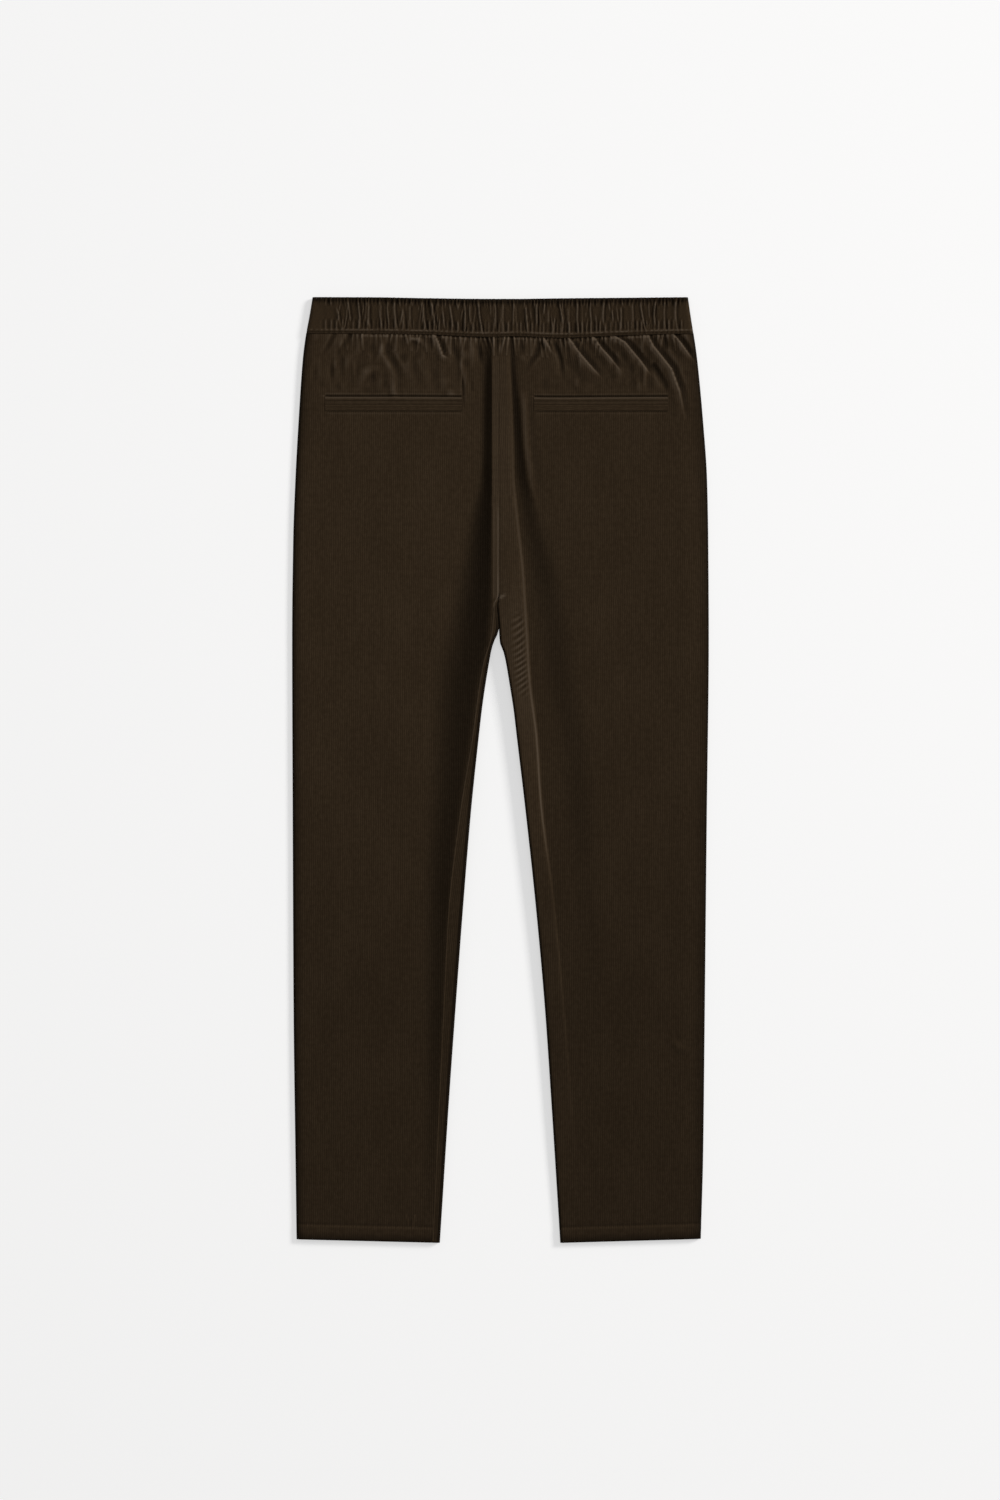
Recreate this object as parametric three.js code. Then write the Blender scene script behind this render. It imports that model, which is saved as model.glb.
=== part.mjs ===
import * as THREE from 'three';

// Corduroy trousers with an elasticated back waist, laid flat with the back uppermost.
// Millimetres. X is to the right seen from above, Y towards the waist, Z up. The front lies on z = 0.
// "Down" is the distance below the waist edge. "Out" is the distance from x = 0 towards the side of a half.

// Driving sizes
const LENGTH = 1040.6;
const CROTCH = 331;
const CLOTH = 1.5;
const BAND_CLOTH = 2.5;
const WELT_CLOTH = 1.2;
const SEAM_GAP = 0.3;
const WELT_GAP = 0.35;
const SEAT_SEAM_X = -1.65;
const HEM_DEPTH = 16;
const HEM_LAYER = 0.9;
const SIDE_HEIGHT = 2.6;
const BAND_LEVEL = 8.2;
const BAND_SIDE_HEIGHT = 4.1;
const FRONT_SEAM = 40.4;

// How rows bend to follow the waist seam and the slant of the hems
const WAIST_ROW = 42;
const WAIST_BLEND = 90;
const HEM_START = 67;
const HEM_WIDE = 156;
const HEM_SLANT = { left: 3.8, right: 4.4 };
const HEM_BLEND = 90;

// Widths and radii of the rolled edges
const SIDE_ROLL = 5.4;
const SIDE_UNDER_ROLL = 4;
const INNER_ROLL = 3;
const INNER_UNDER_ROLL = 2.5;
const SIDE_SLOPE_WIDE = 26;
const SIDE_SLOPE = 0.5;
const HEM_LIFT = 0.25;
const SOFTEN = [-1.4, -0.7, 0, 0.7, 1.4];
const LEFT_TOP_WIDE = 9;
const RIGHT_TOP_WIDE = 14;
const RIGHT_INSEAM_START = 0.55;
const RIGHT_INSEAM_DROP = 30;
const BAND_ROLL = 4.5;
const NOTCH_DOWN = CROTCH + 4;
const NOTCH_OUT = 5;

// x of the outer edges
const OUTLINE = [
  { down: 0, left: -206.9, right: 206.4 },
  { down: 20, left: -210.1, right: 209.2 },
  { down: 36, left: -213.0, right: 211.6 },
  { down: 69, left: -217.6, right: 216.5 },
  { down: 135, left: -222.3, right: 223.0 },
  { down: 201, left: -225.9, right: 227.5 },
  { down: 267, left: -228.3, right: 228.8 },
  { down: 377, left: -229.5, right: 229.4 },
  { down: 564, left: -228.9, right: 227.3 },
  { down: 784, left: -227.9, right: 225.0 },
  { down: 949, left: -225.8, right: 223.1 },
  { down: 1041, left: -224.6, right: 220.6 },
];

// x of the legs' inner edges, and of the inseam where it shows on the left leg
const INSIDE = [
  { down: 331, left: -1.95, right: -1.35, inseam: -1.95 },
  { down: 335, left: -2.7, right: -1.4, inseam: -5.0 },
  { down: 340, left: -3.3, right: -2.7, inseam: -7.2 },
  { down: 364, left: -2.7, right: -2.0, inseam: -9.6 },
  { down: 380, left: -7.6, right: -1.3, inseam: -12.2 },
  { down: 388, left: -10.0, right: 2.6, inseam: -15.0 },
  { down: 397, left: -11.7, right: 5.0, inseam: -18.0 },
  { down: 427, left: -16.7, right: 10.2, inseam: -23.6 },
  { down: 454, left: -20.5, right: 14.4, inseam: -27.2 },
  { down: 482, left: -23.7, right: 17.7, inseam: -31.0 },
  { down: 564, left: -32.3, right: 27.4, inseam: -44.4 },
  { down: 674, left: -41.4, right: 39.2, inseam: -57.5 },
  { down: 784, left: -49.6, right: 49.0, inseam: -63.2 },
  { down: 894, left: -57.4, right: 56.5, inseam: -68.5 },
  { down: 1004, left: -64.4, right: 63.5, inseam: -73.5 },
  { down: 1041, left: -66.8, right: 65.8, inseam: -75.4 },
];

// How far down the waist edge and the waist seam lie, across the band
const WAIST_LINES = [
  { x: -229, edge: 0, seam: 40.2 },
  { x: -140, edge: 0.2, seam: 40.4 },
  { x: -83, edge: 1.2, seam: 41.3 },
  { x: -11, edge: 2.0, seam: 44.0 },
  { x: 16, edge: 2.0, seam: 43.2 },
  { x: 65, edge: 1.4, seam: 45.1 },
  { x: 131, edge: 0.8, seam: 42.5 },
  { x: 197, edge: 0.2, seam: 40.7 },
  { x: 229, edge: 0, seam: 40.5 },
];

// Height of the upper layer away from the folds
const LEVELS = [
  { down: 40, level: 7.4 },
  { down: 100, level: 6.9 },
  { down: 220, level: 6.6 },
  { down: 420, level: 6.4 },
  { down: 1041, level: 6.3 },
];

// The raised fold down the seat, and what it becomes along the two inner thighs
const SEAT_FOLD = [
  { down: 45, foot: 20, top: 10.4, rise: 2.2, seam: 2.1, crest: 8.3, right: 1.9, low: 15.5, dip: 0.6, far: 25 },
  { down: 81, foot: 18.8, top: 10.3, rise: 4.8, seam: 4.5, crest: 9.6, right: 4.2, low: 17.5, dip: 0.8, far: 30 },
  { down: 139, foot: 19, top: 10.3, rise: 6.2, seam: 5.8, crest: 11.9, right: 5.4, low: 19.5, dip: 1.2, far: 34 },
  { down: 196, foot: 21, top: 10.3, rise: 6.8, seam: 6.3, crest: 13, right: 5.8, low: 22.5, dip: 1.4, far: 42 },
  { down: 230, foot: 28, top: 10.3, rise: 7.0, seam: 6.5, crest: 14.6, right: 6.0, low: 26, dip: 1.5, far: 50 },
  { down: 264, foot: 36, top: 10.3, rise: 7.2, seam: 6.6, crest: 18, right: 6.0, low: 31, dip: 1.6, far: 60 },
  { down: 298, foot: 45, top: 10.3, rise: 7.2, seam: 6.8, crest: 22, right: 6.0, low: 37, dip: 1.6, far: 72 },
  { down: 331, foot: 52, top: 10, rise: 7.2, seam: 7.0, crest: 25.3, right: 6.0, low: 41.5, dip: 1.6, far: 80 },
  { down: 377, foot: 64, top: 12.2, rise: 7.0, seam: 6.4, crest: 28.4, right: 5.6, low: 46, dip: 1.6, far: 90 },
  { down: 421, foot: 74, top: 22.6, rise: 6.6, seam: 5.8, crest: 31, right: 5.2, low: 49.5, dip: 1.5, far: 98 },
  { down: 487, foot: 79, top: 32.4, rise: 6.0, seam: 5.0, crest: 37.5, right: 4.6, low: 57, dip: 1.5, far: 106 },
  { down: 553, foot: 81.5, top: 43, rise: 5.4, seam: 4.6, crest: 43.5, right: 4.0, low: 65, dip: 1.5, far: 112 },
  { down: 663, foot: 84, top: 56.6, rise: 4.4, seam: 3.8, crest: 56.5, right: 3.0, low: 73.5, dip: 1.3, far: 114 },
  { down: 773, foot: 83, top: 63.2, rise: 3.2, seam: 2.8, crest: 68, right: 1.8, low: 81, dip: 1.2, far: 116 },
  { down: 883, foot: 84, top: 68.2, rise: 1.8, seam: 1.6, crest: 77, right: 0.8, low: 90, dip: 0.8, far: 118 },
  { down: 960, foot: 86, top: 72, rise: 0.7, seam: 0.6, crest: 82, right: 0.3, low: 96, dip: 0.4, far: 118 },
  { down: 1010, foot: 88, top: 74, rise: 0, seam: 0, crest: 84, right: 0, low: 98, dip: 0, far: 118 },
];

// Folds that run down from the gathered waist seam. A negative height is a trough.
const WAIST_FOLDS = [
  { x: [-151.3, -168.9], down: [44, 57.2], height: 1.2, reach: 6 },
  { x: [-133.7, -137], down: [46, 59.4], height: -1.0, reach: 5 },
  { x: [-121.6, -129.3, -132.6], down: [46, 53.9, 69.3], height: 1.0, reach: 5 },
  { x: [-125.4, -123, -116], down: [60, 72.6, 79.2], height: -1.2, reach: 8 },
  { x: [-105, -104], down: [46, 64], height: 1.0, reach: 5.5 },
  { x: [-96.6, -94.6], down: [53, 78.7], height: -1.0, reach: 5 },
  { x: [-89.7, -82], down: [46, 52.8], height: -0.8, reach: 4.5 },
  { x: [-68.4, -61, -57], down: [45.1, 58.3, 59.4], height: 1.3, reach: 5 },
  { x: [-52.7, -52.3, -44.6, -40.9], down: [48, 72.6, 79.2, 103], height: -1.3, reach: 5.5 },
  { x: [-36, -33], down: [46, 74], height: 0.9, reach: 5 },
  { x: [-25.5, -25], down: [46, 71.5], height: -1.0, reach: 5 },
  { x: [22, 24, 28.6, 36], down: [60, 139, 196, 230], height: 1.2, reach: 8 },
  { x: [45.7, 35.8, 29.2], down: [46, 62.7, 79.2], height: -1.0, reach: 5.5 },
  { x: [49, 56.1], down: [45.1, 60], height: 1.0, reach: 5 },
  { x: [61, 65.5, 71], down: [46, 64.9, 84.7], height: -1.4, reach: 5.5 },
  { x: [74.7, 88.6, 94.1, 105], down: [44, 61.6, 71.5, 81.4], height: 1.4, reach: 5.5 },
  { x: [85.5, 98.4], down: [46, 64.6], height: -1.1, reach: 5 },
  { x: [105, 109.5, 121.6], down: [45.1, 54.5, 66.6], height: 1.4, reach: 5.5 },
  { x: [113.5, 120], down: [49, 57], height: -1.3, reach: 5 },
  { x: [123.8, 137, 153.5], down: [44, 51.2, 71.5], height: 1.5, reach: 5.5 },
  { x: [142, 154], down: [49, 62.5], height: -1.2, reach: 5 },
  { x: [163.4, 170, 181, 190.9, 195.3], down: [46.2, 59.4, 71.5, 83.6, 93.5], height: 1.5, reach: 5.5 },
  { x: [172.2, 181], down: [78, 96.8], height: -1.1, reach: 7 },
  { x: [193.8, 200.9, 206], down: [44, 57.2, 69.3], height: 1.2, reach: 5 },
  { x: [199, 202], down: [106, 122], height: 0.8, reach: 9 },
];

// Gathers of the elasticated band, each a ridge from the waist edge to the seam
const GATHERS = [
  { top: -182.1, foot: -174.4, height: 0.8 },
  { top: -167.8, foot: -163.4, height: 0.9 },
  { top: -157, foot: -155.5, height: 0.5 },
  { top: -143.6, foot: -143.8, height: 0.9 },
  { top: -131, foot: -130, height: 0.5 },
  { top: -116.5, foot: -112.4, height: 1.0 },
  { top: -108.6, foot: -105, height: 0.6 },
  { top: -99, foot: -97.5, height: 0.6 },
  { top: -84.5, foot: -80.5, height: 0.9 },
  { top: -75.3, foot: -71, height: 0.9 },
  { top: -65, foot: -62, height: 0.5 },
  { top: -56.3, foot: -50.6, height: 1.0 },
  { top: -40.2, foot: -40.2, height: 0.9 },
  { top: -31.5, foot: -30.5, height: 0.5 },
  { top: -24, foot: -18.4, height: 1.2 },
  { top: -6.2, foot: -5.5, height: 0.9 },
  { top: 4.2, foot: 4.6, height: 0.7 },
  { top: 15.5, foot: 16, height: 0.5 },
  { top: 27, foot: 27.5, height: 0.5 },
  { top: 40.2, foot: 40.4, height: 0.8 },
  { top: 52.3, foot: 52.6, height: 0.7 },
  { top: 66.4, foot: 67.4, height: 1.0 },
  { top: 76.5, foot: 77, height: 0.5 },
  { top: 85.6, foot: 85.8, height: 1.0 },
  { top: 98.7, foot: 103, height: 0.9 },
  { top: 114.7, foot: 114.9, height: 0.9 },
  { top: 123.2, foot: 123.6, height: 0.5 },
  { top: 132.4, foot: 133, height: 0.9 },
  { top: 144.7, foot: 146.5, height: 0.6 },
  { top: 152.9, foot: 160.7, height: 1.1 },
  { top: 170.4, foot: 172, height: 1.0 },
  { top: 181.5, foot: 182.4, height: 0.6 },
  { top: 193.4, foot: 195.3, height: 0.9 },
];
const GATHER_REACH = 3.4;
const GATHER_GROOVE = 0.35;

// Pocket welts
const WELTS = {
  left: { from: 42.4, to: 193 },
  right: { from: 36.9, to: 184.3 },
};
const WELT_TOP = 110.6;
const WELT_FOOT = 125.4;

// Rows of points, as distances down
const WAIST_ROWS = [47, 53, 60, 68, 78, 91, 107];
const SEAT_ROWS = [126, 150, 180, 212, 245, 280, 312, CROTCH];
const FRONT_ROWS = [78, 126, 180, 245];
const LEG_ROWS = [344, 364, 380, 388, 397, 427, 460, 510, 564, 640, 720, 800, 880, 960, 1010];
const HEM_ROWS = [LENGTH - HEM_DEPTH - 2, LENGTH - HEM_DEPTH, LENGTH - HEM_DEPTH + 2, LENGTH - 1.5, LENGTH];
const DENSE_STEP = 3.9;
const WIDE_STEP = 15;

function mm(value) {
  return Math.round(value * 1e5) / 1e5;
}

function clamp(value, low, high) {
  return Math.min(high, Math.max(low, value));
}

function smooth(value) {
  const t = clamp(value, 0, 1);
  return t * t * (3 - 2 * t);
}

function mix(a, b, t) {
  return a + (b - a) * t;
}

// A smooth curve through one column of a table, with no overshoot
function curve(rows, column, key = 'down') {
  const x = rows.map((row) => row[key]);
  const y = rows.map((row) => row[column]);
  const last = x.length - 1;
  const steps = x.slice(1).map((value, i) => (y[i + 1] - y[i]) / (value - x[i]));
  const slopes = x.map((value, i) => {
    if (i === 0) return steps[0];
    if (i === last) return steps[last - 1];
    if (steps[i - 1] * steps[i] <= 0) return 0;
    return (2 * steps[i - 1] * steps[i]) / (steps[i - 1] + steps[i]);
  });
  return (at) => {
    if (at <= x[0]) return y[0];
    if (at >= x[last]) return y[last];
    let i = 0;
    while (at > x[i + 1]) i += 1;
    const wide = x[i + 1] - x[i];
    const t = (at - x[i]) / wide;
    const rise = t * t * (3 - 2 * t);
    const start = t * (1 - t) * (1 - t) * wide * slopes[i];
    const end = t * t * (1 - t) * wide * slopes[i + 1];
    return mix(y[i], y[i + 1], rise) + start - end;
  };
}

const waistEdge = curve(WAIST_LINES, 'edge', 'x');
const waistSeam = curve(WAIST_LINES, 'seam', 'x');
const levelAt = curve(LEVELS, 'level');
const fold = Object.fromEntries(
  ['foot', 'top', 'rise', 'seam', 'crest', 'right', 'low', 'dip', 'far'].map((key) => [key, curve(SEAT_FOLD, key)]),
);

// Distance from a point of the cloth to a fold's line
function distanceToFold(x, down, line) {
  let nearest = Infinity;
  for (let i = 0; i + 1 < line.x.length; i += 1) {
    const dx = line.x[i + 1] - line.x[i];
    const dd = line.down[i + 1] - line.down[i];
    const along = ((x - line.x[i]) * dx + (down - line.down[i]) * dd) / (dx * dx + dd * dd);
    const t = clamp(along, 0, 1);
    nearest = Math.min(nearest, Math.hypot(x - line.x[i] - dx * t, down - line.down[i] - dd * t));
  }
  return nearest;
}

function bump(distance, reach) {
  return distance >= reach ? 0 : 0.5 + 0.5 * Math.cos((Math.PI * distance) / reach);
}

function waistFolds(x, down) {
  return WAIST_FOLDS.reduce((sum, line) => sum + line.height * bump(distanceToFold(x, down, line), line.reach), 0);
}

function leftSeatFold(out, down) {
  const top = fold.top(down);
  const foot = fold.foot(down);
  if (out >= foot) return 0;
  if (out >= top) return fold.rise(down) * ((foot - out) / (foot - top)) ** 1.7;
  return mix(fold.rise(down), fold.seam(down), clamp((top - out) / LEFT_TOP_WIDE, 0, 1));
}

function rightSeatFold(out, down) {
  const crest = fold.crest(down);
  const low = fold.low(down);
  const far = fold.far(down);
  if (out >= far) return 0;
  if (out >= low) return -fold.dip(down) * (1 - smooth((out - low) / (far - low)));
  if (out >= crest) return mix(fold.right(down), -fold.dip(down), smooth((out - crest) / (low - crest)));
  return mix(fold.right(down), fold.seam(down), clamp((crest - out) / RIGHT_TOP_WIDE, 0, 1));
}

// A side of the trousers: its edges, its upper surface and the points of its section
function makeHalf(side) {
  const sign = side === 'left' ? -1 : 1;
  const outerX = curve(OUTLINE, side);
  const innerX = curve(INSIDE, side);
  const seatFold = side === 'left' ? leftSeatFold : rightSeatFold;
  const seam = sign * SEAT_SEAM_X + SEAM_GAP / 2;
  const half = { side, sign, seam };
  half.outer = (down) => sign * outerX(down);
  half.inner = (down) => (down < NOTCH_DOWN ? seam : sign * innerX(down));
  half.height = (out, down) => {
    let lift = 0;
    for (const shift of SOFTEN) lift += seatFold(out + shift, down) / SOFTEN.length;
    const nearSide = smooth(1 - (half.outer(down) - out) / SIDE_SLOPE_WIDE);
    const hem = HEM_LIFT * smooth((down - LENGTH + HEM_DEPTH + 1.5) / 3);
    return levelAt(down) + lift + waistFolds(sign * out, down) * (1 - nearSide) - SIDE_SLOPE * nearSide + hem;
  };
  // How far down a point of a row lies, as rows follow the waist seam and the slant of the hem
  half.down = (out, row, front) => {
    const seamDown = front ? FRONT_SEAM : waistSeam(sign * out);
    const waist = (seamDown - WAIST_ROW) * (1 - smooth((row - WAIST_ROW) / WAIST_BLEND));
    const across = Math.max((out - HEM_START) / HEM_WIDE, 0);
    const hem = HEM_SLANT[side] * across * smooth((row - LENGTH + HEM_BLEND + 20) / HEM_BLEND);
    return row + waist - hem;
  };
  return half;
}

const FRONT_KINDS = ['sideUnderRoll', 'under', 'innerUnderRoll'];

// Which way each part of the section faces, as towards the half's side and up
const FACING = {
  upper: [0, 1],
  sideRoll: [1, 1],
  sideUnderRoll: [1, -1],
  under: [0, -1],
  innerUnderRoll: [-1, -1],
  innerWall: [-1, 0],
  innerRoll: [-1, 1],
};

// Points of a half's section. Each takes a position along its part of the section, and a row.
const PLACES = {
  upper: (half, out, row) => ({ out, z: half.height(out, row) }),
  sideRoll: (half, angle, row) => {
    const out = half.outer(row) - SIDE_ROLL * (1 - Math.cos(angle));
    return { out, z: SIDE_HEIGHT + (half.height(out, row) - SIDE_HEIGHT) * Math.sin(angle) };
  },
  sideUnderRoll: (half, angle, row) => ({
    out: half.outer(row) - SIDE_UNDER_ROLL * (1 - Math.cos(angle)),
    z: SIDE_HEIGHT * (1 - Math.sin(angle)),
  }),
  under: (half, out) => ({ out, z: 0 }),
  innerUnderRoll: (half, angle, row) => ({
    out: half.inner(row) + INNER_UNDER_ROLL * (1 - Math.cos(angle)),
    z: INNER_UNDER_ROLL * (1 - Math.sin(angle)),
  }),
  innerWall: (half, share, row) => ({
    out: half.inner(row),
    z: mix(INNER_UNDER_ROLL, half.height(half.inner(row), row) - INNER_ROLL, share),
  }),
  innerRoll: (half, angle, row) => {
    const out = half.inner(row) + INNER_ROLL * (1 - Math.cos(angle));
    return { out, z: half.height(out, row) - INNER_ROLL * (1 - Math.sin(angle)) };
  },
};

// Places a point of a section in the part
function place(half, kind, value, row) {
  const spot = PLACES[kind](half, value, row);
  const down = half.down(spot.out, row, FRONT_KINDS.includes(kind));
  return new THREE.Vector3(half.sign * spot.out, LENGTH / 2 - down, spot.z);
}

const NEAR = 0.02;

// A point of the cloth with its outward direction, found from its neighbours on the same surface
function clothPoint(half, kind, value, row, options = {}) {
  const along = place(half, kind, value + NEAR, row).sub(place(half, kind, value - NEAR, row));
  const away = place(half, kind, value, row + NEAR).sub(place(half, kind, value, row - NEAR));
  const normal = along.cross(away);
  const [sideways, up] = FACING[kind];
  if (normal.dot(new THREE.Vector3(half.sign * sideways, 0, up)) < 0) normal.negate();
  for (const axis of options.square ?? []) normal[axis] = 0;
  normal.normalize();
  return { point: place(half, kind, value, row), normal, thick: options.thick ?? CLOTH };
}

// Joins two rows of point numbers with triangles, taking the shorter diagonal each time
function joinRows(upper, lower, points) {
  const triangles = [];
  let i = 0;
  let j = 0;
  while (i < upper.length - 1 || j < lower.length - 1) {
    const canUpper = i < upper.length - 1;
    const canLower = j < lower.length - 1;
    const upperCost = canUpper ? points[upper[i + 1]].point.distanceTo(points[lower[j]].point) : Infinity;
    const lowerCost = canLower ? points[upper[i]].point.distanceTo(points[lower[j + 1]].point) : Infinity;
    if (upperCost <= lowerCost) {
      triangles.push([upper[i], lower[j], upper[i + 1]]);
      i += 1;
    } else {
      triangles.push([upper[i], lower[j], lower[j + 1]]);
      j += 1;
    }
  }
  return triangles;
}

// A closed wall of cloth from rows of points. A row can say which of its points join the row above or below.
function clothWall(rows) {
  const points = [];
  const numbered = rows.map((row) => {
    const first = points.length;
    points.push(...row.points);
    const numbers = row.points.map((_, i) => first + i);
    const above = row.above ? numbers.slice(...row.above) : numbers;
    const below = row.below ? numbers.slice(...row.below) : numbers;
    return { above, below };
  });
  let skin = [];
  for (let i = 0; i + 1 < numbered.length; i += 1) {
    skin.push(...joinRows(numbered[i].below, numbered[i + 1].above, points));
  }
  const facing = skin.reduce((sum, [a, b, c]) => {
    const p = points[a].point;
    const face = points[b].point.clone().sub(p).cross(points[c].point.clone().sub(p));
    return sum + face.dot(points[a].normal);
  }, 0);
  if (facing < 0) skin = skin.map(([a, b, c]) => [a, c, b]);
  const count = points.length;
  const faces = [];
  const edges = new Map();
  for (const [a, b, c] of skin) {
    faces.push([a, b, c], [a + count, c + count, b + count]);
    for (const [from, to] of [[a, b], [b, c], [c, a]]) {
      if (edges.has(`${to},${from}`)) edges.delete(`${to},${from}`);
      else edges.set(`${from},${to}`, [from, to]);
    }
  }
  for (const [from, to] of edges.values()) {
    faces.push([to, from, from + count], [to, from + count, to + count]);
  }
  const inner = points.map((p) => p.inside ?? p.point.clone().addScaledVector(p.normal, -p.thick));
  const spots = [...points.map((p) => p.point), ...inner];
  const positions = spots.flatMap((p) => [mm(p.x), mm(p.y), mm(p.z)]);
  const geometry = new THREE.BufferGeometry();
  geometry.setAttribute('position', new THREE.Float32BufferAttribute(positions, 3));
  geometry.setIndex(faces.flat());
  geometry.computeVertexNormals();
  return geometry;
}

// Values from one end to the other, about a step apart, with the ends included
function spread(from, to, step) {
  const count = Math.max(1, Math.round((to - from) / step));
  return Array.from({ length: count + 1 }, (_, i) => mix(from, to, i / count));
}

function angles(from, to, count) {
  return spread(from, to, (to - from) / count);
}

// The ends of the panels are cut square at the waist seam and the hem
function rowOptions(row) {
  return { square: row <= WAIST_ROW + 1 || row >= LENGTH ? ['y'] : [] };
}

// Where the upper layer has its points in a row, from its inner end to the start of the side roll
function upperColumns(half, row, from) {
  const to = half.outer(row) - SIDE_ROLL;
  if (row < WAIST_ROWS.at(-1) + 1) return spread(from, to, DENSE_STEP);
  const columns = [from];
  const add = (out) => {
    if (out > columns.at(-1) + 1.2 && out < to - 6) columns.push(out);
  };
  if (half.side === 'left') {
    const top = fold.top(row);
    const foot = fold.foot(row);
    [(from + top) / 2, top - 1.2, top + 1.2].forEach(add);
    [0.22, 0.45, 0.72, 1].forEach((share) => add(mix(top, foot, share)));
  } else {
    const crest = fold.crest(row);
    const low = fold.low(row);
    [(from + crest) / 2, crest - 1].forEach(add);
    [0.25, 0.5, 0.75, 1].forEach((share) => add(mix(crest, low, share)));
    [0.35, 0.7, 1].forEach((share) => add(mix(low, fold.far(row), share)));
  }
  columns.push(...spread(columns.at(-1), to, WIDE_STEP).slice(1));
  return columns;
}

function hemLayer(half, row, out) {
  const deep = row >= LENGTH - HEM_DEPTH - 0.01;
  const clear = Math.min(half.outer(row) - out, out - half.inner(row)) - 9;
  return deep ? CLOTH + HEM_LAYER * smooth(clear / 6) : CLOTH;
}

// The right inseam runs down the inner wall from the crotch, as a share of the wall's height
function rightInseam(row) {
  return RIGHT_INSEAM_START * (1 - smooth((row - NOTCH_DOWN) / RIGHT_INSEAM_DROP));
}

// The back panel's points in one row, from the seat seam or the inseam to the outseam
function backRow(half, row) {
  const points = [];
  const leg = row > NOTCH_DOWN;
  let from = half.seam;
  if (leg && half.side === 'left') from = -curve(INSIDE, 'inseam')(row) + SEAM_GAP / 2;
  if (leg && half.side === 'right') {
    from = half.inner(row) + INNER_ROLL;
    points.push(clothPoint(half, 'innerWall', rightInseam(row), row, rowOptions(row)));
    points.push(clothPoint(half, 'innerWall', 1, row, rowOptions(row)));
    points.push(clothPoint(half, 'innerRoll', Math.PI / 4, row, rowOptions(row)));
  }
  upperColumns(half, row, from).forEach((out, i) => {
    const square = [...rowOptions(row).square];
    if (i === 0 && (!leg || half.side === 'left')) square.push('x');
    points.push(clothPoint(half, 'upper', out, row, { square, thick: hemLayer(half, row, out) }));
  });
  const edge = Math.asin(SEAM_GAP / 2 / (half.height(half.outer(row), row) - SIDE_HEIGHT));
  for (const angle of angles(Math.PI / 2, edge, 4).slice(1)) {
    const square = [...rowOptions(row).square];
    if (angle === edge) square.push('z');
    points.push(clothPoint(half, 'sideRoll', angle, row, { square }));
  }
  return points;
}

function backPanel(half) {
  const seat = [WAIST_ROW + SEAM_GAP / 2, ...WAIST_ROWS, ...SEAT_ROWS];
  const rows = seat.map((row) => ({ points: backRow(half, row) }));
  if (half.side === 'left') {
    // The inseam leaves the seat seam at a small notch below the crotch point
    const row = NOTCH_DOWN - 0.01;
    const points = backRow(half, row);
    points.splice(1, 0, clothPoint(half, 'upper', NOTCH_OUT + SEAM_GAP / 2, row, { square: ['x'] }));
    const far = points.filter((p, i) => i < 2 || half.sign * p.point.x > NOTCH_OUT + 2);
    rows.push({ points: far, below: [1] });
  } else {
    rows.push({ points: backRow(half, NOTCH_DOWN + 0.5) });
  }
  rows.push(...[...LEG_ROWS, ...HEM_ROWS].map((row) => ({ points: backRow(half, row) })));
  return clothWall(rows);
}

// The front panel's points in one row, from the outseam to the centre seam, or round the inside of the leg
function frontRow(half, row) {
  const options = rowOptions(row);
  const leg = row > NOTCH_DOWN;
  const points = [];
  const edge = Math.asin(SEAM_GAP / 2 / SIDE_HEIGHT);
  for (const angle of angles(edge, Math.PI / 2, 3)) {
    const square = angle === edge ? [...options.square, 'z'] : options.square;
    points.push(clothPoint(half, 'sideUnderRoll', angle, row, { square }));
  }
  const start = half.outer(row) - SIDE_UNDER_ROLL;
  const end = leg ? half.inner(row) + INNER_UNDER_ROLL : half.inner(row);
  for (const share of [0.08, 0.5, 0.92, 1]) {
    const out = mix(start, end, share);
    points.push(clothPoint(half, 'under', out, row, { square: options.square, thick: hemLayer(half, row, out) }));
  }
  if (!leg) return points;
  points.push(clothPoint(half, 'innerUnderRoll', Math.PI / 4, row, options));
  points.push(clothPoint(half, 'innerUnderRoll', 0, row, options));
  if (half.side === 'right') {
    const tall = half.height(half.inner(row), row) - INNER_ROLL - INNER_UNDER_ROLL;
    points.push(clothPoint(half, 'innerWall', rightInseam(row) - SEAM_GAP / tall, row, options));
    return points;
  }
  points.push(clothPoint(half, 'innerWall', 1, row, options));
  const line = -curve(INSIDE, 'inseam')(row) - SEAM_GAP / 2;
  const strip = line - half.inner(row);
  const reach = Math.acos(1 - Math.min(strip, INNER_ROLL) / INNER_ROLL);
  const square = [...options.square, 'x'];
  const flat = strip > INNER_ROLL + 0.5;
  points.push(clothPoint(half, 'innerRoll', reach / 2, row, options));
  points.push(clothPoint(half, 'innerRoll', reach, row, flat ? options : { square }));
  if (flat) points.push(clothPoint(half, 'upper', line, row, { square }));
  return points;
}

function frontPanel(half) {
  const seat = [WAIST_ROW + SEAM_GAP / 2, ...FRONT_ROWS, CROTCH].map((row) => ({ points: frontRow(half, row) }));
  const first = { points: frontRow(half, NOTCH_DOWN + SEAM_GAP), above: [0, 9] };
  const legs = [...LEG_ROWS, ...HEM_ROWS].map((row) => ({ points: frontRow(half, row) }));
  return clothWall([...seat, first, ...legs]);
}

// Height of the gathered band's upper surface above its plain level
function gathers(x, share) {
  const calm = smooth((x + 190) / 10) * smooth((204 - x) / 8);
  let lift = -GATHER_GROOVE * calm;
  for (const gather of GATHERS) {
    const middle = mix(gather.top, gather.foot, smooth(share));
    lift += (gather.height + GATHER_GROOVE) * bump(Math.abs(x - middle), GATHER_REACH);
  }
  return lift;
}

const bandOuter = { left: curve(OUTLINE, 'left'), right: curve(OUTLINE, 'right') };

function bandDown(x, share) {
  return mix(waistEdge(x), waistSeam(x) - SEAM_GAP / 2, share);
}

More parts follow.
